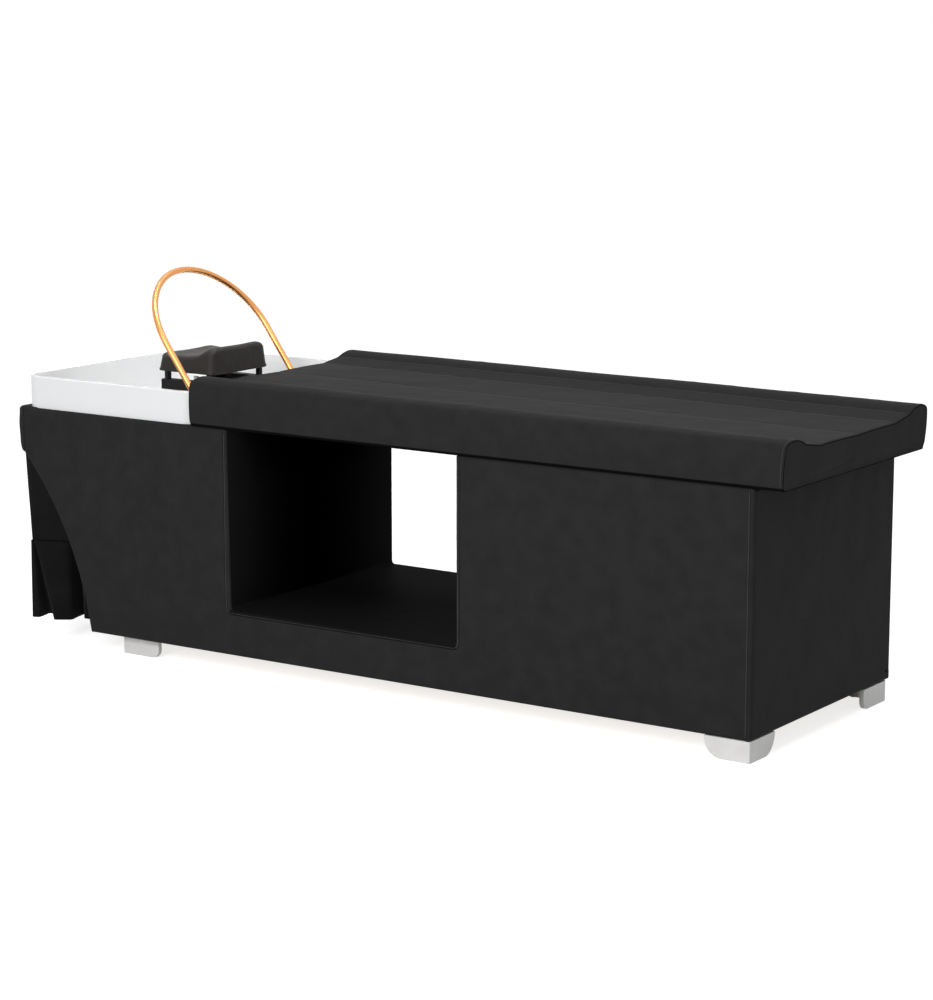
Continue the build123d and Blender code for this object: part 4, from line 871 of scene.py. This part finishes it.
def makeMattress():
    length, radius, bottom = padHigh.x - padLow.x, mattress["endRadius"], mattress["bottomRadius"]
    ends = [radius * k for k in (0.0, 0.1, 0.35, 0.7, 1.2)]
    xs = ends + steps(ends[-1], length - ends[-1], mattress["stationStep"])[1:-1]
    xs += [length - x for x in reversed(ends)]
    rings = [mattressRing(x / length) for x in xs]
    points = []
    for x, ring in zip(xs, rings):
        inset = radius - sqrt(max(0.0, radius**2 - max(0.0, radius - min(x, length - x)) ** 2))
        points += [point - out * inset * (rise > 0.004) for point, out, _, rise in ring]
    piece = makePiece("mattress", points, gridFaces(len(xs), len(rings[0]), True), sharpAngle=55)
    # The bottom roll is near-black: painted shade for the dark gap under the mattress
    paint(piece, [paintedShadeLeather], lambda centre: centre.z < padLow.z + bottom * 0.7)
    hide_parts("mattress_cover", "mattress_foam")

    # End panels, sewn inside the rolled edge
    depth, recess = mattress["panelDepth"], mattress["panelDepth"] + 0.0004
    for name, share, sign, x in (("mattressHeadPanel", 0.0, -1, padLow.x),
                                 ("mattressFootPanel", 1.0, 1, padHigh.x)):
        outline = [(y * 0.9935, rise * 0.985 + 0.0004) for y, rise in reversed(mattressSection(share))]
        lean = mattress["footLean"] * share
        panel = paddedPanel(name, outline, [0.0025] * len(outline), lambda u, v: depth,
                            lambda u, v, height: (x + lean * v - sign * (recess - height), u, padLow.z + v),
                            lambda u, v, distance: -0.0012 + 0.0018 * ripple(0.12, u, v, sign * 3),
                            grid=0.012, rings=(0.003, 0.008))

    # Stitches in the channels, and beside the foot end's corner seams
    lines = []
    for seam in seams:
        nearest = [min(ring, key=lambda spot: abs(spot[2] - seam) + (spot[3] < 0.05)) for ring in rings[5:-5]]
        lines.append([spot[:2] for spot in nearest])
    ring = mattressRing(1 - mattress["cornerStitch"] / length)
    for sign in (-1, 1):
        lines.append([(point, out) for point, out, y, rise in ring if sign * y > 0.3 and rise > bottom])
    stitches("mattressStitches", lines)
    # The cord's near-black colour is painted shade for the dark line of the foot panel's seam
    cord("mattressPiping", [(point - Vector((0.0012, 0, 0)) - out * 0.0034, Vector((0.6, 0, 0)) + out * 0.8)
                            for point, out, _, rise in mattressRing(1.0) if rise > bottom],
         mattress["pipingRadius"], paintedShadeLeather)


makeMattress()
print("mattress made")


# Headrest pillow: moulded foam with a neck roll and two slots
pillowLow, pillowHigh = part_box("headrest_pillow")
pillow = {
    "neckRise": 0.0645, "headRise": 0.048, "dip": 0.003, "hollow": 0.012, "sideDrop": 0.007, "swell": 0.0007,
    "crest": 0.011, "crestShare": 0.86, "crestWidth": 0.13,
    "cornerDrop": 0.007, "cornerLength": 0.035, "cornerWidth": 0.022, "cornerRadius": 0.021,
    "inset": 0.003, "radius": 0.011, "flare": 0.0064, "wall": 0.03, "grid": 0.006,
    "slots": ((-0.743, 0.026), (-0.728, 0.054)), "slotSize": (0.021, 0.015), "slotRadius": 0.0045,
    "slotDepth": 0.018,
}


def pillowRise(x, y):
    share = (x - pillowLow.x) / (pillowHigh.x - pillowLow.x)
    across = y / pillowHigh.y
    rise = pillow["headRise"] + (pillow["neckRise"] - pillow["headRise"]) * share
    rise -= pillow["hollow"] * 4 * share * (1 - share)
    rise += pillow["crest"] * exp(-(((share - pillow["crestShare"]) / pillow["crestWidth"]) ** 2))
    toEnd = (x - pillowHigh.x) / pillow["cornerLength"]
    toSide = (abs(y) - pillowHigh.y) / pillow["cornerWidth"]
    rise -= pillow["cornerDrop"] * exp(-toEnd * toEnd - toSide * toSide)
    return rise - pillow["dip"] * (1 - across * across) ** 2 - pillow["sideDrop"] * across**8


def roundedRectangle(low, high, radius, step):
    (left, near), (right, far) = [value + radius for value in low], [value - radius for value in high]
    corners = (((right, near), -90), ((right, far), 0), ((left, far), 90), ((left, near), 180))
    arcs = [turnCorner(centre, radius, start, start + 90, 8) for centre, start in corners]
    return spread([point for arc in arcs for point in arc], step)


inset, (halfLength, halfWidth) = pillow["inset"], (size / 2 for size in pillow["slotSize"])
outline = roundedRectangle([value + inset for value in pillowLow[:2]],
                           [value - inset for value in pillowHigh[:2]], pillow["cornerRadius"], 0.005)
slots = [(roundedRectangle((x - halfLength, y - halfWidth), (x + halfLength, y + halfWidth),
                           pillow["slotRadius"], 0.003), pillow["slotDepth"]) for x, y in pillow["slots"]]
piece = paddedPanel("headrestPillow", outline, [pillow["radius"]] * len(outline), pillowRise,
                    lambda u, v, height: (u, v, pillowLow.z + height),
                    lambda u, v, distance: pillow["swell"] * ripple(0.05, u, v, 1.7),
                    looks["moulded_foam"], "headrest", pillow["grid"], pillow["flare"],
                    pillow["wall"], (0.003, 0.007), slots)
# The slot walls are near-black: painted shade in the slots' hollows
paint(piece, [paintedShadeLeather], lambda centre: any(
    abs(centre.x - x) < halfLength + 0.0003 and abs(centre.y - y) < halfWidth + 0.0003
    for x, y in pillow["slots"]))
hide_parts("headrest_pillow")
print("pillow made")


# Spray arch: a bent tube with a row of spray holes inside its crown
arch = {
    "tilt": 35.6, "half": 0.2075, "leg": 0.255, "crownHalf": 0.0125, "crownRise": 0.0055, "radius": 0.008,
    "start": 0.009, "step": 0.006, "sides": 28,
    "holes": 9, "holeSpread": 84, "holeRadius": 0.0015, "holeDepth": 0.003,
}


def makeArch():
    low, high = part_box("arch_knuckles")
    hinge = Vector(((low.x + high.x) / 2, 0, (low.z + high.z) / 2))
    tilt = radians(arch["tilt"])
    across, up, out = Vector((0, 1, 0)), Vector((-sin(tilt), 0, cos(tilt))), Vector((cos(tilt), 0, sin(tilt)))
    bend = arch["half"] - arch["crownHalf"]
    drop = (arch["crownHalf"] ** 2 - arch["crownRise"] ** 2) / (2 * arch["crownRise"])
    crown, crownTurn = bend + arch["crownRise"] + drop, atan2(arch["crownHalf"], drop)
    crownLength, bendLength = crown * crownTurn, bend * (pi / 2 - crownTurn)

    def onTube(place, turn, radius):
        # place is the length along the tube from the middle of the crown, turn goes round it from the inside
        s = abs(place)
        if s <= crownLength:
            a = s / crown
            x, z = crown * sin(a), arch["leg"] - drop + crown * cos(a)
        elif s <= crownLength + bendLength:
            a = crownTurn + (s - crownLength) / bend
            x, z = arch["crownHalf"] + bend * sin(a), arch["leg"] + bend * cos(a)
        else:
            a = pi / 2
            x, z = arch["half"], arch["leg"] - (s - crownLength - bendLength)
        sign = -1 if place < 0 else 1
        inward = across * (-sin(a) * sign) - up * cos(a)
        return hinge + across * (x * sign) + up * z + (inward * cos(turn) + out * sin(turn)) * radius

    end = crownLength + bendLength + arch["leg"] - arch["start"]
    gap = arch["holeRadius"]
    spots = [crown * radians(arch["holeSpread"]) * (i / (arch["holes"] - 1) - 0.5)
             for i in range(arch["holes"])]
    places = [s for s in steps(-end, end, arch["step"]) if all(abs(s - spot) > 2.2 * gap for spot in spots)]
    places = sorted(places + [spot + k * gap for spot in spots for k in (-2, -1, 0, 1, 2)])
    sides, radius = arch["sides"], arch["radius"]
    points = [onTube(s, 2 * pi * j / sides, radius) for s in places for j in range(sides)]
    faces = tubeFaces(len(places), sides)
    cut = set()
    for spot in spots:
        row = min(range(len(places)), key=lambda i: abs(places[i] - spot))
        rim = [(-1, -1), (-1, 0), (-1, 1), (0, 1), (1, 1), (1, 0), (1, -1), (0, -1)]
        ids, floor = [(row + a) * sides + b % sides for a, b in rim], len(points)
        for k, i in enumerate(ids):
            turn = pi * 1.25 - pi / 4 * k
            place, aside = spot + gap * cos(turn), gap * sin(turn) / radius
            points[i] = onTube(place, aside, radius)
            points.append(onTube(place, aside, radius - arch["holeDepth"]))
        middle = row * sides
        points[middle] = onTube(spot, 0, radius - arch["holeDepth"])
        for k in range(8):
            after = (k + 1) % 8
            faces.append((ids[k], ids[after], floor + after, floor + k))
            faces.append((floor + k, floor + after, middle))
            if k % 2:
                cut.add(frozenset((middle, ids[k], ids[after], ids[(k + 2) % 8])))
    faces = [face for face in faces if frozenset(face) not in cut]
    piece = makePiece("archTube", points, faces, looks["rose_metal"], "arch", sharpAngle=50)
    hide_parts("arch_tube")


makeArch()
print("arch made")


# Curtain over the plumbing bay
curtain = {
    "setback": 0.007, "half": 0.327, "draw": 0.0075, "flare": 0.003, "return": 0.144, "pinch": 0.061,
    "cloth": 0.0014, "folds": 5, "foldDepth": 0.050, "foldSeamShare": 0.03, "foldHemShare": 0.24,
    "foldSeamDepth": 0.004, "rows": 40, "yokeSlack": 0.0022, "hemSway": 0.0022, "seamDrop": 0.004,
    "hemDrop": 0.005,
    # The pleats of each side, in shares of the return and of the pinch
    "seamPleats": ((1.08, 1.1), (0.86, 1.15), (0.70, 1.25), (0.66, 0.62),
                   (0.06, 0.05), (0.05, 0.10), (0.04, 0.10), (0.03, 0.02)),
    "hemPleats": ((1.1, 1.0), (0.90, 1.0), (0.64, 1.7), (0.80, 0.50),
                  (0.54, -0.02), (0.30, 0.95), (0.10, 0.9), (0.17, 0.12)),
}
yokeLow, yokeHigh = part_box("curtain_yoke")
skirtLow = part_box("curtain_skirt")[0]


def uPath(front):
    return front + [(x, -y) for x, y in reversed(front)]


def resample(points, counts):
    # Splits each run into its count of equal parts, so that two paths match run by run
    runs = zip(points, points[1:], counts)
    return [point for start, end, count in runs for point in divided(start, end, count=count)] + [points[-1]]


def softened(points, rounds):
    path = np.array(points)
    for _ in range(rounds):
        path[1:-1] = (path[:-2] + 2 * path[1:-1] + path[2:]) / 4
    return path


def hangCloth(name, top, bottom, topZ, bottomZ, ease, wave, node):
    rows = curtain["rows"]
    points = []
    for row in range(rows + 1):
        share = row / rows
        for x, y in top + (bottom - top) * ease(share):
            sway = wave(share, x, y)
            points.append((x + sway[0], y + sway[1], topZ + (bottomZ - topZ) * share + sway[2]))
    faces = gridFaces(rows + 1, len(top))
    piece = makePiece(name, points, faces, looks["curtain_cloth"], sharpAngle=60)
    thickness = piece.modifiers.new("cloth", "SOLIDIFY")
    thickness.thickness, thickness.offset = curtain["cloth"], 0.0
    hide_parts(node)


def makeCurtain():
    yokeX = cadBox[0][0] + curtain["setback"]
    seamX, seamHalf = yokeX + curtain["draw"], curtain["half"] - curtain["draw"]
    hemX, hemHalf = seamX - curtain["flare"], seamHalf + curtain["flare"]
    back, pinch, half = curtain["return"], curtain["pinch"], curtain["half"]
    seamZ, hemZ = yokeLow.z - curtain["seamDrop"], skirtLow.z - curtain["hemDrop"]
    counts = [30, 120, 30]
    top = softened(resample(uPath([(yokeX + back, -half), (yokeX, -half)]), counts), 4)
    bottom = softened(resample(uPath([(seamX + back, pinch - seamHalf), (seamX, -seamHalf)]), counts), 4)

    def yokeWave(share, x, y):
        slack = curtain["yokeSlack"] * ripple(0.07, x + y, share * 0.12, 2.2) * sin(pi * share)
        return (slack, 0.0, 0.0) if abs(y) < 0.3 else (0.0, slack, 0.0)

    hangCloth("curtainYoke", top, bottom, yokeHigh.z, seamZ, lambda share: share, yokeWave, "curtain_yoke")

    def pleats(x, half, shares, gap, depth):
        front = [(x + back * a, pinch * b - half) for a, b in shares]
        panel = 2 * half / curtain["folds"]
        line = front + [(x, -half)]
        for i in range(1, curtain["folds"]):
            y = i * panel - half
            line += [(x, y - gap * panel), (x + depth, y), (x, y + gap * panel)]
        line += [(x, half)] + uPath(front)[len(front):]
        return softened(resample(line, [8] * (len(line) - 1)), 2)

    def skirtWave(share, x, y):
        sway = curtain["hemSway"] * share
        return (sway * ripple(0.08, x, y, 3.3), sway * ripple(0.08, x, y, 8.8),
                1.2 * sway * ripple(0.05, x, y, 6.1))

    top = pleats(seamX, seamHalf, curtain["seamPleats"], curtain["foldSeamShare"], curtain["foldSeamDepth"])
    bottom = pleats(hemX, hemHalf, curtain["hemPleats"], curtain["foldHemShare"], curtain["foldDepth"])
    hangCloth("curtainSkirt", top, bottom, seamZ, hemZ, lambda share: share**0.9, skirtWave, "curtain_skirt")


makeCurtain()
print("curtain made")


# Floor, world and lamps
stage = {"floorSize": 40.0, "floorGlow": 0.75, "worldLight": 0.315}


def makeFloor():
    size = stage["floorSize"]
    points = [(x * size, y * size, 0.0) for x, y in ((-1, -1), (1, -1), (1, 1), (-1, 1))]
    mesh = bpy.data.meshes.new("floor")
    mesh.from_pydata(points, [], [(0, 1, 2, 3)])
    finish = Finish("paleFloor", (0.86, 0.86, 0.86), Roughness=0.6, Specular_IOR_Level=0.0)
    finish.wire("Emission Color", finish.mix(finish.stageRay(), (0, 0, 0, 1), (1, 1, 1, 1)))
    finish.shader.inputs["Emission Strength"].default_value = stage["floorGlow"]
    mesh.materials.append(finish.material)
    floor = bpy.data.objects.new("floor", mesh)
    bpy.context.scene.collection.objects.link(floor)


def makeWorld():
    world = bpy.data.worlds.new("studio")
    bpy.context.scene.world = world
    world.use_nodes = True
    graph = Graph(world.node_tree)
    # The light that falls on the bed, and the plain white that is seen
    backgrounds = [graph.make("ShaderNodeBackground", {}, {"Color": (1, 1, 1, 1), "Strength": strength})
                   for strength in (stage["worldLight"], 1.0)]
    blend = graph.make("ShaderNodeMixShader", {}, dict(enumerate([graph.stageRay(), *backgrounds])))
    graph.tree.links.new(blend.output, graph.tree.nodes["World Output"].inputs["Surface"])


lamps = {
    "top": {"place": (0.2, 0.2, 3.6), "aim": (0, 0, 0.5), "size": (4.2, 3.0), "power": 40},
    "front": {"place": (0.6, -4.8, 2.7), "aim": (0.1, 0, 0.45), "size": (2.6, 2.2), "power": 144},
    "basin": {"place": (-0.62, -0.15, 2.5), "aim": (-0.90, 0.06, 0.5), "size": (0.5, 0.5), "power": 0.9,
              "spread": 20},
}


def makeLamps():
    for name, values in lamps.items():
        light = bpy.data.lights.new(name, "AREA")
        light.shape = "RECTANGLE"
        light.size, light.size_y = values["size"]
        light.energy = values["power"]
        light.spread = radians(values.get("spread", 180))
        lamp = bpy.data.objects.new(name, light)
        lamp.location = values["place"]
        aim = Vector(values["aim"]) - Vector(values["place"])
        lamp.rotation_euler = aim.to_track_quat("-Z", "Y").to_euler()
        bpy.context.scene.collection.objects.link(lamp)


makeFloor()
makeWorld()
makeLamps()
print("stage lit")
